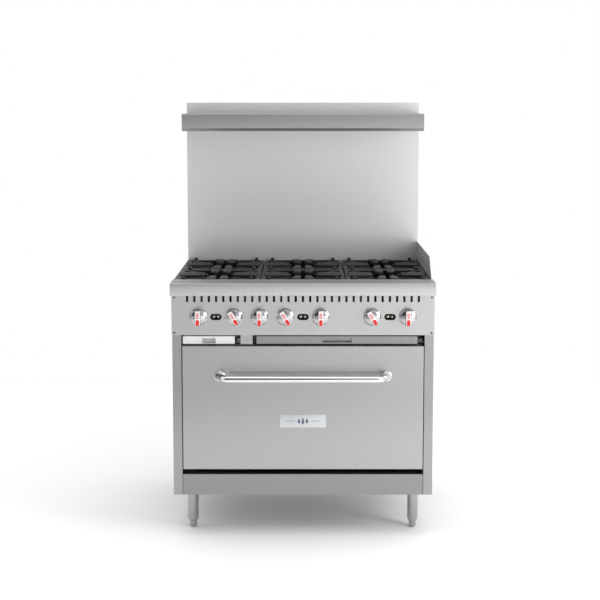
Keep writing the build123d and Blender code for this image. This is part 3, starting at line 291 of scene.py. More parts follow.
# ---------------------------------------------------------------- shader maths
class Signal:
    """A socket's value. Arithmetic on it adds Math nodes."""

    def __init__(self, finish, socket):
        self.finish = finish
        self.socket = socket

    def math(self, operation, first, second=None, clamp=False):
        """The result of one Math node."""
        values = {0: first} if second is None else {0: first, 1: second}
        return self.finish.node("ShaderNodeMath", values, operation=operation, use_clamp=clamp).out()

    def __add__(self, other):
        return self.math("ADD", self, other)

    def __sub__(self, other):
        return self.math("SUBTRACT", self, other)

    def __rsub__(self, other):
        return self.math("SUBTRACT", other, self)

    def __mul__(self, other):
        return self.math("MULTIPLY", self, other)

    __radd__ = __add__
    __rmul__ = __mul__

    def clamped(self):
        """The value kept between 0 and 1."""
        return self.math("ADD", self, 0.0, clamp=True)

    def clamped_above(self, low):
        """The value kept above a floor."""
        return self.math("MAXIMUM", self, low)

    def sine(self):
        """The sine of the value."""
        return self.math("SINE", self)

    def step(self, low, high):
        """0 below low, 1 above high, and a smooth rise between."""
        values = {"Value": self, "From Min": low, "From Max": high}
        made = self.finish.node("ShaderNodeMapRange", values, interpolation_type="SMOOTHSTEP")
        return made.out()


class NodeMade:
    """A node that was added, with its sockets filled."""

    def __init__(self, finish, item):
        self.finish = finish
        self.item = item

    def out(self, name=0):
        """One of its outputs."""
        return Signal(self.finish, self.item.outputs[name])


class Finish:
    """A node tree being built, for a material or the world."""

    def __init__(self, owner):
        owner.use_nodes = True
        self.tree = owner.node_tree
        self.tree.nodes.clear()

    def node(self, kind, values=None, **settings):
        """Adds a node of a type, with its settings set first and then its sockets' values or links."""
        item = self.tree.nodes.new(kind)
        for name, value in settings.items():
            setattr(item, name, value)
        for name, value in (values or {}).items():
            if isinstance(value, Signal):
                self.tree.links.new(value.socket, item.inputs[name])
            else:
                item.inputs[name].default_value = value
        return NodeMade(self, item)

    def point(self, scale=(1, 1, 1)):
        """The place on the object, in metres, stretched by a scale."""
        place = self.node("ShaderNodeTexCoord").out("Object")
        return self.node("ShaderNodeMapping", {"Vector": place, "Scale": scale}).out()

    def noise(self, scale, detail=3.0, stretch=(1, 1, 1), rough=0.55):
        """Fractal noise from 0 to 1, with a scale in cells per metre."""
        sockets = {"Vector": self.point(stretch), "Scale": scale, "Detail": detail, "Roughness": rough}
        return self.node("ShaderNodeTexNoise", sockets).out("Fac")

    def blend(self, factor, first, second):
        """A colour between two colours. The node's colour sockets are its inputs 6 and 7 and output 2."""
        values = {0: factor, 6: rgba(first), 7: rgba(second)}
        return self.node("ShaderNodeMix", values, data_type="RGBA").out(2)

    def bump(self, height, distance, strength=1.0):
        """A surface normal from a height, which is worth distance metres at 1."""
        values = {"Height": height, "Distance": distance, "Strength": strength}
        return self.node("ShaderNodeBump", values).out("Normal")

    def shade(self, **sockets):
        """The shader and the material's output. Names have _ for spaces."""
        values = {name.replace("_", " "): value for name, value in sockets.items()}
        if not isinstance(values.get("Base Color"), Signal):
            values["Base Color"] = rgba(values["Base Color"])
        shader = self.node("ShaderNodeBsdfPrincipled", values).out("BSDF")
        self.node("ShaderNodeOutputMaterial", {"Surface": shader})


def rgba(colour):
    """A colour with alpha, or a link as it is."""
    return colour if isinstance(colour, Signal) else (*tuple(colour)[:3], 1.0)


def material(name):
    """A new material and its tree."""
    made = bpy.data.materials.new(name)
    return made, Finish(made)


# ---------------------------------------------------------------- finishes
def tinted(colour, factor):
    """A colour made darker or lighter by a factor, up to white."""
    return [min(c * factor, 1) for c in colour]


def grain(along, lengthwise, crosswise):
    """The scale that stretches noise along one axis."""
    return tuple(lengthwise if axis == along else crosswise for axis in "xyz")


def brushed(name, colour, along="x", rough=0.31, metal=0.85, contrast=0.03, smudge=0.05):
    """Brushed stainless steel: long fine scratches along one axis, a coarser drift of tone across them, and
    faint wiping marks that change only the gloss."""
    made, f = material(name)
    scratch = f.noise(1.6, 4, grain(along, 1.2, 420), 0.7)
    drift = f.noise(1.0, 3, grain(along, 0.35, 46))
    wiped = f.noise(5.5, 4)
    tone = (scratch - 0.5) * contrast * 1.6 + (drift - 0.5) * contrast + 0.5
    dark, light = tinted(colour, 1 - contrast * 2), tinted(colour, 1 + contrast * 2)
    f.shade(
        Base_Color=f.blend(tone.clamped(), dark, light),
        Metallic=metal,
        Roughness=(rough + (scratch - 0.5) * 0.12 + (wiped - 0.5) * smudge).clamped(),
        Normal=f.bump(scratch * 0.7 + drift * 0.3, 0.00008, 0.14),
    )
    return made


def mill_sheet(name, colour, rough=0.42, spangle=0.12):
    """Galvanised sheet: flat crystals a few millimetres wide that differ in tone and gloss."""
    made, f = material(name)
    cells = f.node("ShaderNodeTexVoronoi", {"Vector": f.point(), "Scale": 95.0, "Randomness": 1.0})
    crystal = f.node("ShaderNodeSeparateColor", {"Color": cells.out("Color")}).out("Red")
    dirt = f.noise(9, 5)
    tone = f.blend((crystal * 0.7 + dirt * 0.3).clamped(), tinted(colour, 1 - spangle), colour)
    f.shade(
        Base_Color=tone,
        Metallic=0.9,
        Roughness=(rough + (crystal - 0.5) * 0.16 + (dirt - 0.5) * 0.15).clamped(),
        Normal=f.bump(f.noise(160, 3), 0.0002, 0.3),
    )
    return made


def cast(name, colour, rough=0.6, pebble=0.0006, rust=0.0):
    """Sand-cast iron: a pebbly skin, darker pores, and a little brown where heat has burnt the black off."""
    made, f = material(name)
    sand = f.noise(620, 4, rough=0.65)
    lumps = f.noise(70, 3)
    pores = f.noise(260, 2).step(0.60, 0.72)
    burnt = f.noise(16, 4).step(0.56, 0.75) * rust
    base = f.blend((lumps * 1.3 - 0.15).clamped(), tinted(colour, 0.75), tinted(colour, 1.35))
    base = f.blend(pores * 0.5, base, tinted(colour, 0.4))
    base = f.blend(burnt, base, (0.10, 0.055, 0.035))
    f.shade(
        Base_Color=base,
        Metallic=0.25,
        Roughness=(rough + (sand - 0.5) * 0.25 + (lumps - 0.5) * 0.2).clamped(),
        Normal=f.bump(sand * 0.6 + lumps * 0.4, pebble, 0.8),
    )
    return made


def polished(name, colour, rough=0.06, haze=0.05, metal=1.0):
    """Polished plating: almost a mirror, with a faint haze and hairline wear."""
    made, f = material(name)
    hair = f.noise(300, 3, (1, 0.05, 1))
    cloud = f.noise(24, 4)
    f.shade(
        Base_Color=f.blend(cloud * 0.5, colour, tinted(colour, 0.93)),
        Metallic=metal,
        Roughness=(rough + cloud * haze + hair.step(0.62, 0.75) * 0.06).clamped(),
        Normal=f.bump(f.noise(45, 2), 0.00005, 0.15),
    )
    return made


def enamel(name, colour, fleck, rough=0.18):
    """Porcelain enamel over steel: a glassy coat with pale flecks and a slight orange peel."""
    made, f = material(name)
    spots = f.noise(900, 1).step(0.70, 0.74)
    f.shade(
        Base_Color=f.blend(spots * 0.8, colour, fleck),
        Metallic=0.0,
        Roughness=(rough + f.noise(30, 3) * 0.12).clamped(),
        Normal=f.bump(f.noise(110, 2), 0.0003, 0.25),
        Coat_Roughness=0.08,
        Coat_Weight=0.4,
    )
    return made


def painted(name, colour, rough=0.35, peel=0.0001):
    """Paint or hard plastic with a fine peel and slightly uneven gloss."""
    made, f = material(name)
    cloud = f.noise(60, 4)
    f.shade(
        Base_Color=f.blend(cloud, tinted(colour, 0.92), tinted(colour, 1.05)),
        Metallic=0.0,
        Roughness=(rough + (cloud - 0.5) * 0.15).clamped(),
        Normal=f.bump(f.noise(700, 2), peel, 0.3),
    )
    return made


def wool(name, colour):
    """Matted mineral fibre."""
    made, f = material(name)
    fibre = f.noise(220, 5, (1, 1, 0.2), 0.7)
    f.shade(
        Base_Color=f.blend(fibre, tinted(colour, 0.6), colour),
        Metallic=0.0,
        Roughness=0.95,
        Normal=f.bump(fibre, 0.002, 0.8),
    )
    return made


def woven(name, colour):
    """Braided glass-fibre tape: two sets of strands that cross."""
    made, f = material(name)
    place = f.node("ShaderNodeSeparateXYZ", {"Vector": f.point()})
    x, z = place.out("X"), place.out("Z")
    frequency = 2200
    height = ((x + z) * frequency).sine() * ((x - z) * frequency).sine() * 0.5 + 0.5
    f.shade(
        Base_Color=f.blend(height, tinted(colour, 0.5), colour),
        Metallic=0.0,
        Roughness=0.9,
        Normal=f.bump(height, 0.0008, 0.8),
    )
    return made


def make_finishes(colours):
    """Every material of the range, by a short name."""
    steel = tuple(colours.steel)
    iron = tuple(colours.iron)
    return {
        "steel": brushed("stainless_across", tinted(steel, 0.96), "x"),
        # Painted shade: the side panels take a darker copy of the brushed steel.
        "steel_side": brushed("stainless_lengthwise_painted_shade", tinted(steel, 0.68), "y"),
        # Painted shade: faces that look straight up on the rail and shelf take this darker copy of the steel.
        "steel_top": brushed("stainless_top_painted_shade", tinted(steel, 0.48), "x", rough=0.5),
        # Painted light: the riser takes a lighter, less metallic copy of the brushed steel.
        "steel_riser": brushed("stainless_riser_painted_light", tinted(steel, 1.3), "x", rough=0.36, metal=0.35),
        # Painted shade: the door takes a darker copy of the brushed steel.
        "steel_door": brushed("stainless_door_painted_shade", tinted(steel, 0.8), "x"),
        # Painted shade: the kick panel takes a much darker copy of the brushed steel.
        "steel_kick": brushed("stainless_kick_painted_shade", tinted(steel, 0.56), "x", rough=0.34),
        # Painted shade: the shelf takes a darker copy of the brushed steel.
        "steel_shelf": brushed("stainless_shelf_painted_shade", tinted(steel, 0.66), "x", rough=0.42),
        # Painted light: the side guard takes a lighter copy of the brushed steel.
        "steel_guard": brushed("stainless_guard_painted_light", tinted(steel, 1.15), "y", rough=0.4, metal=0.65),
        # Dark grey panel screw heads.
        "screw": polished("darkened_screw", (0.22, 0.22, 0.22), rough=0.3),
        # Painted shade: the legs and feet take a darker copy of the brushed steel.
        "leg": brushed("stainless_tube_painted_shade", tinted(steel, 0.8), "z", rough=0.16, metal=1.0),
        "sheet": mill_sheet("galvanised_sheet", (0.50, 0.51, 0.52)),
        # Painted shade: the right crumb tray takes a darker copy of the galvanised sheet.
        "sheet_grey": mill_sheet("sheet_painted_shade", (0.35, 0.355, 0.36)),
        # A dark copy of the galvanised sheet. On the top frame it is painted shade, for the shadow gap beside
        # the grates.
        "sheet_dark": mill_sheet("darkened_sheet", (0.16, 0.16, 0.165), rough=0.55),
        # Painted highlight: the left crumb tray takes a near-white copy of the tray metal.
        "tray": brushed("tray_painted_highlight", (0.93, 0.93, 0.93), "x", rough=0.42, metal=0.3),
        "iron": cast("cast_iron_grate", iron, 0.52),
        "iron_hot": cast("cast_iron_burner", tinted(iron, 0.9), 0.65, rust=0.5),
        "chrome": polished("chrome_plate", (0.84, 0.84, 0.85), rough=0.03, haze=0.02),
        # Painted shade: the knobs take a darker copy of the chrome.
        "knob": polished("knob_chrome_painted_shade", (0.52, 0.52, 0.53), rough=0.16, haze=0.06),
        "zinc": polished("zinc_plate", (0.62, 0.61, 0.57), rough=0.28, haze=0.12),
        "brass": polished("brass_machined", (0.72, 0.52, 0.24), rough=0.22, haze=0.15),
        "brass_pale": polished("brass_tinned", (0.78, 0.72, 0.60), rough=0.25, haze=0.1),
        "enamel": enamel("speckled_enamel", (0.035, 0.035, 0.04), (0.55, 0.55, 0.58)),
        "white": painted("knob_insert", (0.86, 0.86, 0.85), 0.3),
        "red": painted("pointer_red", tuple(colours.pointer), 0.35),
        # Painted shade: the pilots behind the panel's slots are near-black, so that the slots read as dark
        # openings.
        "black": painted("cavity_painted_shade", (0.012, 0.012, 0.013), 0.6),
        "badge": brushed("badge_aluminium", (0.66, 0.68, 0.70), "x", rough=0.45, contrast=0.03),
        "badge_ink": painted("badge_ink", (0.10, 0.14, 0.2), 0.45),
        "wool": wool("mineral_wool", (0.62, 0.55, 0.30)),
        "seal": woven("glass_tape", (0.22, 0.22, 0.21)),
    }


NODE_FINISH = {
    "steel": ("control_panel",),
    "steel_riser": ("riser_front",),
    "steel_door": ("door_skin",),
    "steel_kick": ("kick_panel",),
    "steel_side": ("side_panel_left", "side_panel_right"),
    "steel_guard": ("side_guard",),
    "sheet": ("back_panel", "riser_back", "base_pan", "tray_runners", "oven_flue"),
    "sheet_grey": ("crumb_tray_right",),
    "tray": ("crumb_tray_left",),
    "sheet_dark": ("burner_supports", "heat_shield", "oven_frame", "top_frame", "oven_gas_line"),
    "iron_hot": ("burner_bodies", "oven_burner"),
    "zinc": ("hinge_pins", "hinge_brackets", "rack_guides"),
    "brass": ("burner_valves", "thermostat"),
    "black": ("pilots",),
    "enamel": ("oven_liner", "oven_deck", "door_liner"),
    "wool": ("oven_wool", "door_wool"),
    "seal": ("door_gasket",),
}


# ---------------------------------------------------------------- pieces
def rail_shells(sizes):
    """Front rail: a sheet folded three times along X, closed by a welded plate at each end."""
    low, high = corners_of(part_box("front_rail"))
    panel_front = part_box("control_panel")[0][1]
    skirt = 18 * MM
    line = [
        (panel_front, low[2]),
        (low[1], low[2]),
        (low[1], high[2]),
        (high[1], high[2]),
        (high[1], high[2] - skirt),
    ]
    shells = [sheet_fold(line, -SHEET, sizes.bend, low[0] + SHEET / 2, high[0] - SHEET / 2)]
    end = rounded([(low[1], low[2]), (high[1], low[2]), (high[1], high[2]), (low[1], high[2])], sizes.bend, 4)
    for x in (low[0], high[0] - SHEET):
        shells.append(plate(end, (x, 0, 0), BACK, UP, SHEET, SHEET * 0.3, 2))
    return shells


def shelf_shells(sizes):
    """High shelf: top, apron and turned-under lip in one folded sheet, with closed ends and two gussets."""
    low, high = corners_of(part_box("high_shelf"))
    lip, lip_run = 12 * MM, 8.4 * MM
    end_thickness, gusset_reach, gusset_offset = 1.2 * MM, 190 * MM, 283 * MM
    line = [(low[1] + lip_run, low[2]), (low[1], low[2] + lip), (low[1], high[2]), (high[1], high[2])]
    shells = [sheet_fold(line, -SHEET, sizes.bend, low[0], high[0])]
    front, back, apron, under = low[1] + SHEET, high[1], low[2] + lip, high[2] - SHEET
    end = rounded([(front, apron), (back, apron), (back, under), (front, under)], 0.5 * MM, 2)
    gusset = rounded([(back, apron), (back, under), (back - gusset_reach, under)], 1 * MM, 2)
    for x in (low[0], high[0] - end_thickness):
        shells.append(plate(end, (x, 0, 0), BACK, UP, end_thickness, 0.3 * MM, 2))
    for x in (-gusset_offset, gusset_offset - SHEET):
        shells.append(plate(gusset, (x, 0, 0), BACK, UP, SHEET, 0.4 * MM, 2))
    return shells


def grate_finger(middle, top, root_y, side):
    """One of a pair of fingers that point at the burner from the back of the grate: a plate that narrows from
    its root to its tip, with an underside that rises in a straight ramp towards the tip."""
    slot, tip, root, reach = 16 * MM, 62 * MM, 84 * MM, 52 * MM
    thickness, ramp = 17 * MM, 5 * MM
    corners = [
        (slot / 2, reach + 2 * MM),
        (tip / 2 - 6 * MM, reach),
        (tip / 2, reach + 8 * MM),
        (root / 2, root_y),
        (slot / 2, root_y),
    ]
    radii = np.array((3, 4, 4, 1, 1)) * MM
    outline = rounded((np.array(corners) * (side, 1))[::side], radii[::side], 4)
    origin = (middle[0], middle[1], top - thickness)
    points, faces = plate(outline, origin, RIGHT, BACK, thickness, 2.5 * MM, 3)
    along = np.clip((points[:, 1] - middle[1] - reach) / (root_y - reach), 0, 1)
    points[:, 2] += np.where(points[:, 2] < top - thickness / 2, (1 - along) * ramp, 0)
    return points, faces


def grate_web(middle, base, top, reach_out):
    """One corner web before it is turned: an upright plate along X that slopes down at its inner end."""
    reach_in, thickness = 66 * MM, 11 * MM
    web_low, web_high = base + 4 * MM, top - 4 * MM
    side_view = [
        (reach_in, web_low + 5 * MM),
        (reach_in + 14 * MM, web_low + 2 * MM),
        (reach_out, web_low),
        (reach_out, web_high),
        (reach_in, web_high - 5 * MM),
    ]
    origin = (middle[0], middle[1] + thickness / 2, 0)
    return plate(rounded(side_view, 3 * MM, 3), origin, RIGHT, UP, thickness, 2 * MM, 3)


def grate_shells(node):
    """One grate: a rounded frame bar, four pairs of fingers that taper towards the burner, four sloping
    corner webs and four short posts."""
    middle, size = place_of(node)
    low, high = corners_of(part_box(node))
    post_rise, finger_rise = 6 * MM, 4 * MM
    top, depth = high[2] - post_rise, size[2] - post_rise - finger_rise
    bar, bar_draft = 17 * MM, 2.5 * MM
    x, y = size[0] / 2 - bar / 2, size[1] / 2 - bar / 2
    outline = box_outline(2 * x, 2 * y, 8 * MM, 6, middle[:2])
    foot = bar / 2 - bar_draft
    section = rounded([(-foot, 0), (foot, 0), (bar / 2, depth), (-bar / 2, depth)], 3 * MM, 3)
    shells = [frame_bar(outline, section, low[2])]
    pivot, overlap = np.array([middle[0], middle[1], 0]), 1 * MM
    for turn, reach in ((0, y), (90, x), (180, y), (270, x)):
        for side in (-1, 1):
            finger = grate_finger(middle, top, reach + overlap, side)
            shells.append(turned(finger, pivot, UP, turn))
    for turn in (45, 135, 225, 315):
        web = grate_web(middle, low[2], top, (x - 2 * MM) * 2**0.5)
        shells.append(turned(web, pivot, UP, turn))
    post = 13 * MM
    post_x, post_y = 120 * MM, size[1] / 2 - 2 * MM - post / 2
    square = box_outline(post, post, 3 * MM, 4)
    for side_x in (-1, 1):
        for side_y in (-1, 1):
            origin = (middle[0] + side_x * post_x, middle[1] + side_y * post_y, low[2] + overlap)
            shells.append(plate(square, origin, RIGHT, BACK, size[2] - overlap, 2.5 * MM, 3))
    return shells


def head_shells(sizes):
    """Six burner heads on their necks. Round each head the radius drops at every port: r = R - d s(n t), with
    s a smooth square wave of the angle t, so that the ports are real notches between flat-topped teeth."""
    low, high = corners_of(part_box("burner_heads"))
    base, top, seat = low[2] + 8 * MM, high[2], 1 * MM
    notch_depth, notch_edge, notch_steepness = 9 * MM, 0.72, 30
    steps = sizes.ports * 10
    t = np.linspace(0, 2 * math.pi, steps, endpoint=False)
    wave = 1 / (1 + np.exp(-(np.cos(sizes.ports * t) - notch_edge) * notch_steepness))
    # Radius, height in millimetres over the base or over the top, and 1 where the ports are cut.
    skirt = [(0, 0, 0), (34, 0, 0), (46, 0, 0), (47, 1, 0), (47, 7.5, 0)]
    skirt += [(46.6, 8, 1), (46.2, 15.5, 1), (46.8, 16, 0)]
    cap = [(46.5, -4, 0), (44.5, -1.6, 0), (40, -0.6, 0), (22, -0.3, 0)]
    cap += [(19, -2.2, 0), (9, -2.6, 0), (0, -2.6, 0)]
    profile = np.array(skirt + cap) * (MM, MM, 1)
    profile[:, 1] += np.where(np.arange(len(profile)) < len(skirt), base, top)
    radii = profile[:, :1] - profile[:, 2:] * wave * notch_depth
    ring = np.stack([np.cos(t), np.sin(t)], 1)
    neck_radius = 37.5 * MM
    neck = [
        (0, low[2]),
        (neck_radius - 1.5 * MM, low[2]),
        (neck_radius, low[2] + 1 * MM),
        (neck_radius, base + seat),
        (0, base + seat),
    ]
    shells = []
    for x in [place_of(f"grate_front_{i}")[0][0] for i in (1, 2, 3)]:
        for y in [place_of(f"grate_{place}_1")[0][1] for place in ("front", "back")]:
            points = np.empty((len(profile), steps, 3))
            points[..., :2] = radii[..., None] * ring + (x, y)
            points[..., 2] = profile[:, 1:2]
            shells.append(surface(points, wrap_columns=True))
            shells.append(lathe(neck, (x, y, 0), UP, 48))
    return shells


def knob_shells(node, sizes):
    """Knob: a stepped, domed base turned round the stem's axis and a grip bar across it with a rounded,
    slightly tapered section. Returns the metal, the pale face and the pointer."""
    (middle, size), (low, high) = place_of(node), corners_of(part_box(node))
    centre = np.array([middle[0], high[1], middle[2]])
    r, dome_base, dome_rise = 31, 5, 10.5
    rim = [(0, 1), (r - 4, 1), (r - 3, 0), (r - 0.6, 0), (r, 0.8), (r, 3.2), (r - 1.2, 4.2)]
    a = np.linspace(0, math.pi / 2, 9)
    dome = np.stack([(r - 2.4) * np.cos(a), dome_base + dome_rise * np.sin(a)], 1)
    base = lathe(np.concatenate([rim, dome]) * MM, centre, FORWARD, 64)

    start, face_gap, taper = 9 * MM, 0.8 * MM, 1.0 * MM
    grip = box_outline(sizes.grip, (2 * r - 6) * MM, 5 * MM, 6)
    grip_place = centre - (0, start, 0)
    bar = plate(grip, grip_place, RIGHT, UP, size[1] - start - face_gap, 2.6 * MM, 4, taper=taper)

    insert = box_outline(sizes.grip - 3.4 * MM, (2 * r - 11) * MM, 4 * MM, 5)
    face = plate(insert, (middle[0], low[1] + 1.6 * MM, middle[2]), RIGHT, UP, 1.2 * MM, 0.35 * MM, 2)

    mark_depth = 0.5 * MM
    mark_place = (middle[0], low[1] + mark_depth, middle[2])
    pointer = [(-6, -25), (6, -25), (6, -9), (3.4, -5), (-3.4, -5), (-6, -9)]
    outlines = [rounded(np.array(pointer) * MM, 0.8 * MM, 2)]
    rungs = (1.5, 6.5, 11.5, 16.5)
    outlines += [box_outline(10 * MM, 2.8 * MM, 0.6 * MM, 2, (0, rung * MM)) for rung in rungs]
    marks = [plate(outline, mark_place, RIGHT, UP, mark_depth, 0.1 * MM, 1) for outline in outlines]

    turn = RESTING_TURN if node in TURNED_KNOBS else 0.0
    return [[turned(s, centre, FORWARD, turn) for s in group] for group in ([base, bar], [face], marks)]


def handle_shells(sizes):
    """Door handle: a tube whose path is straight between two bends and splays out to the door, with a stepped
    round cap at each end."""
    low = corners_of(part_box("door_handle"))[0]
    x, _, z = place_of("door_handle")[0]
    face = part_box("door_skin")[0][1]
    bar = low[1] + sizes.handle_radius
    corner, foot, bend = 274 * MM, 292 * MM, 24 * MM
    line = [(x - foot, face, z), (x - corner, bar, z), (x + corner, bar, z), (x + foot, face, z)]
    shells = [tube(rounded(line, bend, 14, closed=False), sizes.handle_radius, 32)]
    cap = [(0, 0), (19, 0), (19, 3), (18.4, 4.2), (16.6, 5), (15.6, 6.4), (15, 9.5), (13.8, 11.6), (0, 12)]
    for side in (-1, 1):
        shells.append(lathe(np.array(cap) * MM, (x + side * foot, face, z), FORWARD, 48))
    return shells


def leg_shells():
    """Four tube legs: a coned collar at the foot, a straight tube and a flange plate at the top."""
    low, high = corners_of(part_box("legs"))
    collar = [(0, 0), (14, 0), (14.6, 0.6), (18.4, 8), (19, 9.5)]
    tube_top = [(19, 121), (20.5, 123.5), (21.5, 125), (0, 125)]
    flange_side, flange_thickness = 64 * MM, 4 * MM
    flange = box_outline(flange_side, flange_side, 8 * MM, 5)
    shells = []
    for node in FEET:
        x, y, _ = place_of(node)[0]
        shells.append(lathe(np.array(collar + tube_top) * MM, (x, y, low[2]), UP, 40))
        origin = (x, y, high[2] - flange_thickness)
        shells.append(plate(flange, origin, RIGHT, BACK, flange_thickness, 0.8 * MM, 2))
    return shells


def foot_shells(node):
    """Levelling foot: a turned shoe with a waist and a chamfered sole, and its stud."""
    x, y, _ = place_of(node)[0]
    shoe = [(0, 0), (10, 0), (10.8, 0.5), (13, 5.5), (13, 17), (12.4, 17.8), (12.4, 19.2), (13, 20), (13, 23)]
    stud = [(12.2, 23.7), (8, 23.7), (8, 83.7), (0, 83.7)]
    return [lathe(np.array(shoe + stud) * MM, (x, y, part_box(node)[0][2]), UP, 36)]


def round_head(centre, radius, rings, steps, rise):
    """A round head that faces forward, closed at its back. rise gives its height at each point, from the
    point's share of the radius and its place across and up."""
    angles = np.linspace(0, 2 * math.pi, steps, endpoint=False)
    u, v = np.meshgrid(np.linspace(0, 1, rings), angles, indexing="ij")
    x, z = radius * u * np.cos(v), radius * u * np.sin(v)
    points = np.stack([x, -rise(u, x, z), z], -1)
    points[-1, :, 1] = 0
    shell_points, faces = surface(points + centre, wrap_columns=True)
    return shell_points, faces + [list(range((rings - 1) * steps, rings * steps))]


def screw_shells():
    """Four pan heads. Each is h = H (1 - (r / R)^4), less a cross-shaped recess where |x| or |z| is small."""
    low, high = corners_of(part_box("panel_screws"))
    head, height = 4.2 * MM, 2.2 * MM

    def rise(u, x, z):
        """The height h."""
        cross = (np.minimum(abs(x), abs(z)) < 0.55 * MM) & (u * head < 2.6 * MM)
        return height * (1 - u**4) - np.where(cross, 1.1 * MM, 0)

    face = low[1] + height
    columns, rows = (low[0] + head, high[0] - head), (low[2] + head, high[2] - head)
    return [round_head((x, face, z), head, 14, 48, rise) for x in columns for z in rows]


def badge_shells():
    """Plain badge: a plate with a raised rim. Its emblem is three upright strokes of a flame-like form
    between two thin lines. Returns the plate and the marks."""
    middle, size = place_of("badge_plate")
    back = corners_of(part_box("badge_plate"))[1][1]
    thickness, ink = 0.8 * MM, 0.3 * MM
    outline = box_outline(size[0], size[2], 3 * MM, 5)
    body = plate(outline, (middle[0], back, middle[2]), RIGHT, UP, thickness, 0.25 * MM, 2)
    rim_outline = box_outline(size[0] - 4 * MM, size[2] - 4 * MM, 3 * MM, 5)
    section = np.array([(-0.8, 0), (0.8, 0), (0.5, 0.4), (-0.5, 0.4)]) * MM
    points, faces = frame_bar(rim_outline, section, 0)
    front = np.array([middle[0], back - thickness, middle[2]])
    rim = front + np.stack([points[:, 0], -points[:, 2], points[:, 1]], 1), faces
    t = np.linspace(0, 2 * math.pi, 32, endpoint=False)
    wide = 4.2 * (1 - 0.35 * np.sin(t))
    outlines = []
    for x, tall in ((-14, 17), (0, 24), (14, 17)):
        flame = np.stack([x + wide * np.cos(t), tall / 2 * np.sin(t) * (1 - 0.12 * np.cos(t))], 1)
        outlines.append(flame * MM)
    outlines += [box_outline(34 * MM, 1.6 * MM, 0.5 * MM, 2, (side * 46 * MM, 0)) for side in (-1, 1)]
    marks = [plate(outline, front, RIGHT, UP, ink, 0.08 * MM, 1) for outline in outlines]
    return [body, rim], marks


def rack_shells():
    """Oven rack: a rim of round wire with rounded corners, a cross stay and a row of thinner wires."""
    low, high = corners_of(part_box("oven_rack"))
    wire, thin_wire, inset, thin_count = 2.5 * MM, 1.75 * MM, 1 * MM, 15
    left, right, front, back = low[0] + wire, high[0] - wire, low[1] + wire, high[1] - wire
    z = low[2] + wire
    corners = [(left, front, z), (right, front, z), (right, back, z), (left, back, z)]
    shells = [tube(rounded(corners, 9 * MM, 6), wire, 14, closed=True)]
    mid = (low[1] + high[1]) / 2
    shells.append(tube(np.linspace((left, mid, z), (right, mid, z), 3), wire, 14))
    z = high[2] - thin_wire
    for x in np.linspace(left, right, thin_count + 2)[1:-1]:
        shells.append(tube(np.linspace((x, low[1] + inset, z), (x, high[1] - inset, z), 3), thin_wire, 10))
    return shells


def spring_shells():
    """Two door springs of round wire: the helix (R cos a, R sin a, p a)."""
    low, high = corners_of(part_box("door_springs"))
    wire, coil, turns, inset = 1.6 * MM, 7.2 * MM, 20, 9 * MM
    a = np.linspace(0, 2 * math.pi * turns, turns * 18)
    y = (low[1] + high[1]) / 2
    z = np.linspace(low[2] + wire, high[2] - wire, len(a))
    shells = []
    for x in (low[0] + inset, high[0] - inset):
        shells.append(tube(np.stack([x + coil * np.cos(a), y + coil * np.sin(a), z], 1), wire, 8))
    return shells


def manifold_shells():
    """Gas pipe with one bend, on two saddles. Its inlet is cut with a thread: the radius drops by a triangle
    wave of the distance along the pipe plus the turn."""
    low, high = corners_of(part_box("gas_manifold"))
    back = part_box("back_panel")[1][1]
    r, bend, knob_drop = 13.34 * MM, 30 * MM, 36 * MM
    y, x = low[1] + r, high[0] - r
    z = place_of("knob_1")[0][2] - knob_drop
    path = rounded([(low[0], y, z), (x, y, z), (x, back, z)], bend, 10, closed=False)
    shells = [tube(path, r, 32)]
    pitch, tooth_depth, crest = 1.8 * MM, 0.9 * MM, 0.3 * MM
    u = np.linspace(0, high[1] - back, 151)
    t = np.linspace(0, 2 * math.pi, 32, endpoint=False)
    along, around = np.meshgrid(u, t, indexing="ij")
    tooth = abs(((along / pitch + around / (2 * math.pi)) % 1) - 0.5) * 2
    radius = r - crest - tooth * tooth_depth
    points = np.stack([x + radius * np.cos(around), back + along, z + radius * np.sin(around)], -1)
    shells.append(surface(points, wrap_columns=True, caps=True))
    saddle_width, saddle_depth, saddle_height = 24 * MM, 26.6 * MM, 14 * MM
    saddle = box_outline(saddle_width, saddle_depth, 2 * MM, 3)
    for saddle_x in (-111.75 * MM, 151.75 * MM):
        shells.append(plate(saddle, (saddle_x, y, low[2]), RIGHT, BACK, saddle_height, 1 * MM, 2))
    return shells


def pocket_shells():
    """Grey plate at the back of the left tray's finger notch: painted shade for the recess."""
    low, high = corners_of(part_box("crumb_tray_left"))
    width, height, thickness = 47.6 * MM, 18 * MM, 0.8 * MM
    outline = box_outline(width, height, 1 * MM, 2, (0, height / 2))
    origin = ((low[0] + high[0]) / 2, low[1] + 13.9 * MM, low[2] + 1.6 * MM)
    return [plate(outline, origin, RIGHT, UP, thickness, 0.2 * MM, 1)]


def pilot_shells():
    """Slotted brass screws of the pilot valves, in pairs behind the panel's slots: a domed disc that is
    lowered along a band through its middle."""
    height = place_of("knob_1")[0][2]
    face = corners_of(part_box("pilots"))[0][1] + 3 * MM
    radius, offset = 5 * MM, 7.5 * MM

    def head(tilt):
        """The heights of a head whose slot is tilted by an angle."""

        def rise(u, x, z):
            """The height at one place."""
            across = x * math.sin(tilt) + z * math.cos(tilt)
            return 4.2 * MM - 1.4 * MM * u**3 - np.where(abs(across) < 0.9 * MM, 1.2 * MM, 0)

        return rise

    shells = []
    for column in (1, 2, 3):
        middle = place_of(f"grate_front_{column}")[0][0]
        for side, tilt in ((-1, 0.5), (1, -0.9)):
            shells.append(round_head((middle + side * offset, face, height), radius, 10, 40, head(tilt)))
    return shells


# ---------------------------------------------------------------- settings
def length(name, description, default):
    """A setting for a length."""
    return FloatProperty(name=name, description=description, default=default, unit="LENGTH")


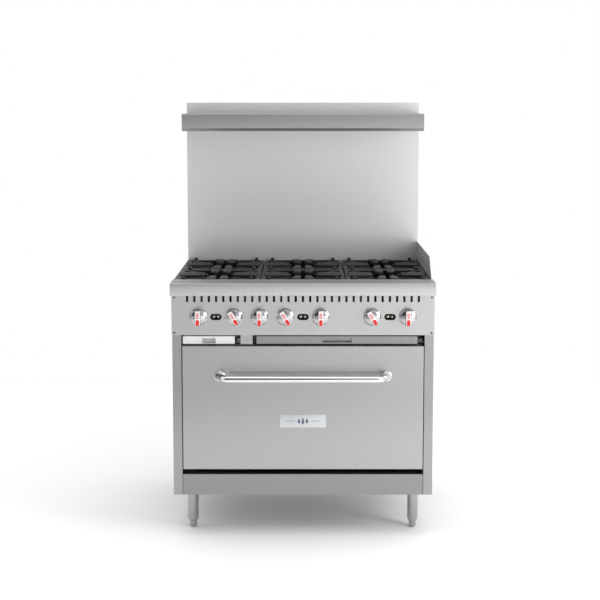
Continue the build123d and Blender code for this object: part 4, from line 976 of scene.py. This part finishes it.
def tint(name, description, default):
    """A setting for a colour."""
    return FloatVectorProperty(name=name, description=description, default=default, subtype="COLOR")


class RangeSizes(PropertyGroup):
    """Sizes that a user may change."""

    bend: length("Bend radius", "Outer radius of folded sheet", 2.5 * MM)
    grip: length("Grip width", "Width of a knob's grip bar", 20 * MM)
    handle_radius: length("Handle radius", "Radius of the door handle's tube", 13 * MM)
    ports: IntProperty(name="Ports", description="Flame ports round each burner head", default=24, min=8)


class RangeColours(PropertyGroup):
    """Colours that a user may change."""

    steel: tint("Stainless steel", "Tint of the brushed sheet", (0.55, 0.55, 0.555))
    iron: tint("Cast iron", "Colour of the grates", (0.020, 0.020, 0.022))
    pointer: tint("Pointer", "Colour of the knobs' pointers", (0.72, 0.02, 0.02))
    floor: tint("Floor", "Colour of the studio floor", (0.92, 0.92, 0.92))


FINISHES = {}


# ---------------------------------------------------------------- operators
class RANGE_OT_finishes(Operator):
    """Make every material and put it on the CAD nodes"""

    bl_idname = "range.finishes"
    bl_label = "Finishes"

    def execute(self, context):
        FINISHES.update(make_finishes(context.scene.range_colours))
        for finish, nodes in NODE_FINISH.items():
            for node in nodes:
                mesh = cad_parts[node].data
                mesh.materials.clear()
                mesh.materials.append(FINISHES[finish])
        return {"FINISHED"}


class RANGE_OT_sheet_metal(Operator):
    """Build the folded front rail and high shelf"""

    bl_idname = "range.sheet_metal"
    bl_label = "Rail and shelf"

    def execute(self, context):
        sizes = context.scene.range_sizes
        rail, shelf, top = rail_shells(sizes), shelf_shells(sizes), FINISHES["steel_top"]
        # The upward faces take steel_top, a darker copy of the steel that paints shade on them.
        piece("rail_folded", rail, FINISHES["steel"], CABINET, ["front_rail"], top=top)
        piece("shelf_folded", shelf, FINISHES["steel_shelf"], CABINET, ["high_shelf"], top=top)
        return {"FINISHED"}


class RANGE_OT_grates(Operator):
    """Build the six cast grates"""

    bl_idname = "range.grates"
    bl_label = "Grates"

    def execute(self, context):
        for node in GRATES:
            piece(f"{node}_casting", grate_shells(node), FINISHES["iron"], node, [node])
        return {"FINISHED"}


class RANGE_OT_burners(Operator):
    """Build the burner heads and the pilots' screws"""

    bl_idname = "range.burners"
    bl_label = "Burners"

    def execute(self, context):
        sizes = context.scene.range_sizes
        heads = head_shells(sizes)
        piece("burner_heads_ported", heads, FINISHES["iron_hot"], CABINET, ["burner_heads"])
        piece("pilot_screws", pilot_shells(), FINISHES["brass_pale"], CABINET)
        return {"FINISHED"}


class RANGE_OT_knobs(Operator):
    """Build the seven knobs with their faces and pointers"""

    bl_idname = "range.knobs"
    bl_label = "Knobs"

    def execute(self, context):
        sizes = context.scene.range_sizes
        for node in KNOBS:
            metal, face, marks = knob_shells(node, sizes)
            piece(f"{node}_metal", metal, FINISHES["knob"], node, [node])
            piece(f"{node}_face", face, FINISHES["white"], node)
            piece(f"{node}_pointer", marks, FINISHES["red"], node)
        return {"FINISHED"}


class RANGE_OT_door(Operator):
    """Build the door handle and the badge"""

    bl_idname = "range.door"
    bl_label = "Door fittings"

    def execute(self, context):
        sizes = context.scene.range_sizes
        piece("handle_tube", handle_shells(sizes), FINISHES["chrome"], "door", ["door_handle"])
        body, marks = badge_shells()
        piece("badge_body", body, FINISHES["badge"], "door", ["badge_plate"])
        piece("badge_marks", marks, FINISHES["badge_ink"], "door")
        return {"FINISHED"}


class RANGE_OT_fittings(Operator):
    """Build the legs, feet, screws, oven rack, door springs and gas pipe"""

    bl_idname = "range.fittings"
    bl_label = "Fittings"

    def execute(self, context):
        piece("leg_tubes", leg_shells(), FINISHES["leg"], CABINET, ["legs"])
        for node in FEET:
            piece(f"{node}_shoe", foot_shells(node), FINISHES["leg"], node, [node])
        piece("screw_heads", screw_shells(), FINISHES["screw"], CABINET, ["panel_screws"])
        # A grey plate that paints shade in the left tray's notch.
        piece("notch_shade_plate", pocket_shells(), FINISHES["sheet"], "crumb_tray_left")
        piece("rack_wires", rack_shells(), FINISHES["zinc"], "rack", ["oven_rack"])
        piece("spring_coils", spring_shells(), FINISHES["zinc"], CABINET, ["door_springs"])
        piece("gas_pipe", manifold_shells(), FINISHES["sheet_dark"], CABINET, ["gas_manifold"])
        return {"FINISHED"}


class RANGE_OT_stage(Operator):
    """Make the floor, the studio light and the camera"""

    bl_idname = "range.stage"
    bl_label = "Stage"

    def execute(self, context):
        make_floor(tuple(context.scene.range_colours.floor))
        make_world(context.scene)
        make_lights(context.scene)
        make_camera(context.scene)
        context.scene.view_settings.view_transform = "Standard"
        return {"FINISHED"}


def make_floor(colour):
    """A wide pale floor."""
    reach = 2.4
    corners = [(-reach, -reach, 0), (reach, -reach, 0), (reach, reach, 0), (-reach, reach, 0)]
    mesh = bpy.data.meshes.new("floor")
    mesh.from_pydata(corners, [], [(0, 1, 2, 3)])
    floor = bpy.data.objects.new("floor", mesh)
    bpy.context.scene.collection.objects.link(floor)
    made, f = material("floor_paint")
    cloud = f.noise(3, 3)
    f.shade(
        Base_Color=f.blend(cloud, tinted(colour, 0.99), colour),
        Metallic=0.0,
        Roughness=(0.7 + cloud * 0.1).clamped(),
        Specular_IOR_Level=0.1,
    )
    mesh.materials.append(made)


def make_world(scene):
    """Soft studio surroundings that light the range; the camera itself sees plain white.

    The front grows brighter to the right. It has a dark band above the horizon and a narrow dark dip below
    it, and is otherwise brighter below the horizon. Low down, both sides are darker.
    """
    world = bpy.data.worlds.new("studio")
    scene.world = world
    f = Finish(world)
    direction = f.node("ShaderNodeTexCoord").out("Generated")
    parts = f.node("ShaderNodeSeparateXYZ", {"Vector": direction})
    x, y, z = parts.out("X"), parts.out("Y"), parts.out("Z")
    front = (0 - y).step(0.3, 0.8)
    band = z.step(-0.06, 0.06) * (1 - z.step(0.62, 0.80)) * front
    dip = z.step(-0.28, -0.21) * (1 - z.step(-0.17, -0.12)) * front
    slope = (x.step(-0.3, 0.3) - 0.5) * front
    low = 1 - z.step(-0.05, 0.02)
    sides = (x * x).step(0.5, 0.95) * (1 - z.step(0.2, 0.6))
    overall, slope_gain, low_gain, darkest = 1.22, 1.3, 0.45, 0.05
    band_depth, dip_depth, side_depth = 1.2, 1.3, 0.55
    level = overall + slope * slope_gain + low * front * low_gain
    level = (level - band * band_depth - dip * dip_depth - sides * side_depth).clamped_above(darkest)
    background = f.node("ShaderNodeBackground", {"Color": (1, 1, 1, 1), "Strength": level}).out("Background")
    plain = f.node("ShaderNodeBackground", {"Color": (1, 1, 1, 1), "Strength": 1.0}).out("Background")
    seen = f.node("ShaderNodeLightPath").out("Is Camera Ray")
    mixed = f.node("ShaderNodeMixShader", {0: seen, 1: background, 2: plain}).out()
    f.node("ShaderNodeOutputWorld", {"Surface": mixed})


def add_area(scene, name, place, aim, size, power):
    """A rectangular soft box that faces a point."""
    data = bpy.data.lights.new(name, "AREA")
    data.shape = "RECTANGLE"
    data.size, data.size_y = size
    data.energy = power
    lamp = bpy.data.objects.new(name, data)
    lamp.location = place
    lamp.rotation_euler = (Vector(aim) - Vector(place)).to_track_quat("-Z", "Y").to_euler()
    scene.collection.objects.link(lamp)


def make_lights(scene):
    """Two soft boxes: one overhead and one near the right front corner."""
    add_area(scene, "overhead", (0.1, -0.6, 3.4), (0, 0.1, 1.1), (2.6, 1.6), 18)
    add_area(scene, "right", (2.1, -1.7, 1.3), (0.45, -0.4, 0.6), (0.9, 1.6), 30)


def make_camera(scene):
    """A long lens at standing height in front of the range, a little left of its middle and looking down."""
    distance, height, left, tilt, turn = 4.683, 1.532, 0.0043, 6.77, 0.0013
    data = bpy.data.cameras.new("camera")
    data.lens = 81.57
    data.sensor_width = 36.0
    data.shift_y = -0.06
    camera = bpy.data.objects.new("camera", data)
    panel_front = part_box("control_panel")[0][1]
    camera.location = (-left, panel_front - distance, height)
    camera.rotation_euler = (math.radians(90 - tilt), 0, turn)
    scene.collection.objects.link(camera)
    scene.camera = camera


class RANGE_PT_build(Panel):
    """Buttons and settings of the range"""

    bl_label = "Gas range"
    bl_idname = "RANGE_PT_build"
    bl_space_type = "VIEW_3D"
    bl_region_type = "UI"
    bl_category = "Range"

    def draw(self, context):
        for group in (context.scene.range_sizes, context.scene.range_colours):
            for name in group.__annotations__:
                self.layout.prop(group, name)
        for operator in OPERATORS:
            self.layout.operator(operator.bl_idname)


OPERATORS = (
    RANGE_OT_finishes,
    RANGE_OT_sheet_metal,
    RANGE_OT_grates,
    RANGE_OT_burners,
    RANGE_OT_knobs,
    RANGE_OT_door,
    RANGE_OT_fittings,
    RANGE_OT_stage,
)
CLASSES = (RangeSizes, RangeColours, *OPERATORS, RANGE_PT_build)


def register():
    for made in CLASSES:
        bpy.utils.register_class(made)
    bpy.types.Scene.range_sizes = PointerProperty(type=RangeSizes)
    bpy.types.Scene.range_colours = PointerProperty(type=RangeColours)


def unregister():
    del bpy.types.Scene.range_colours
    del bpy.types.Scene.range_sizes
    for made in reversed(CLASSES):
        bpy.utils.unregister_class(made)


def main():
    """Builds the range."""
    register()
    bpy.ops.range.finishes()
    bpy.ops.range.sheet_metal()
    bpy.ops.range.grates()
    bpy.ops.range.burners()
    bpy.ops.range.knobs()
    bpy.ops.range.door()
    bpy.ops.range.fittings()
    bpy.ops.range.stage()


if __name__ == "__main__":
    main()
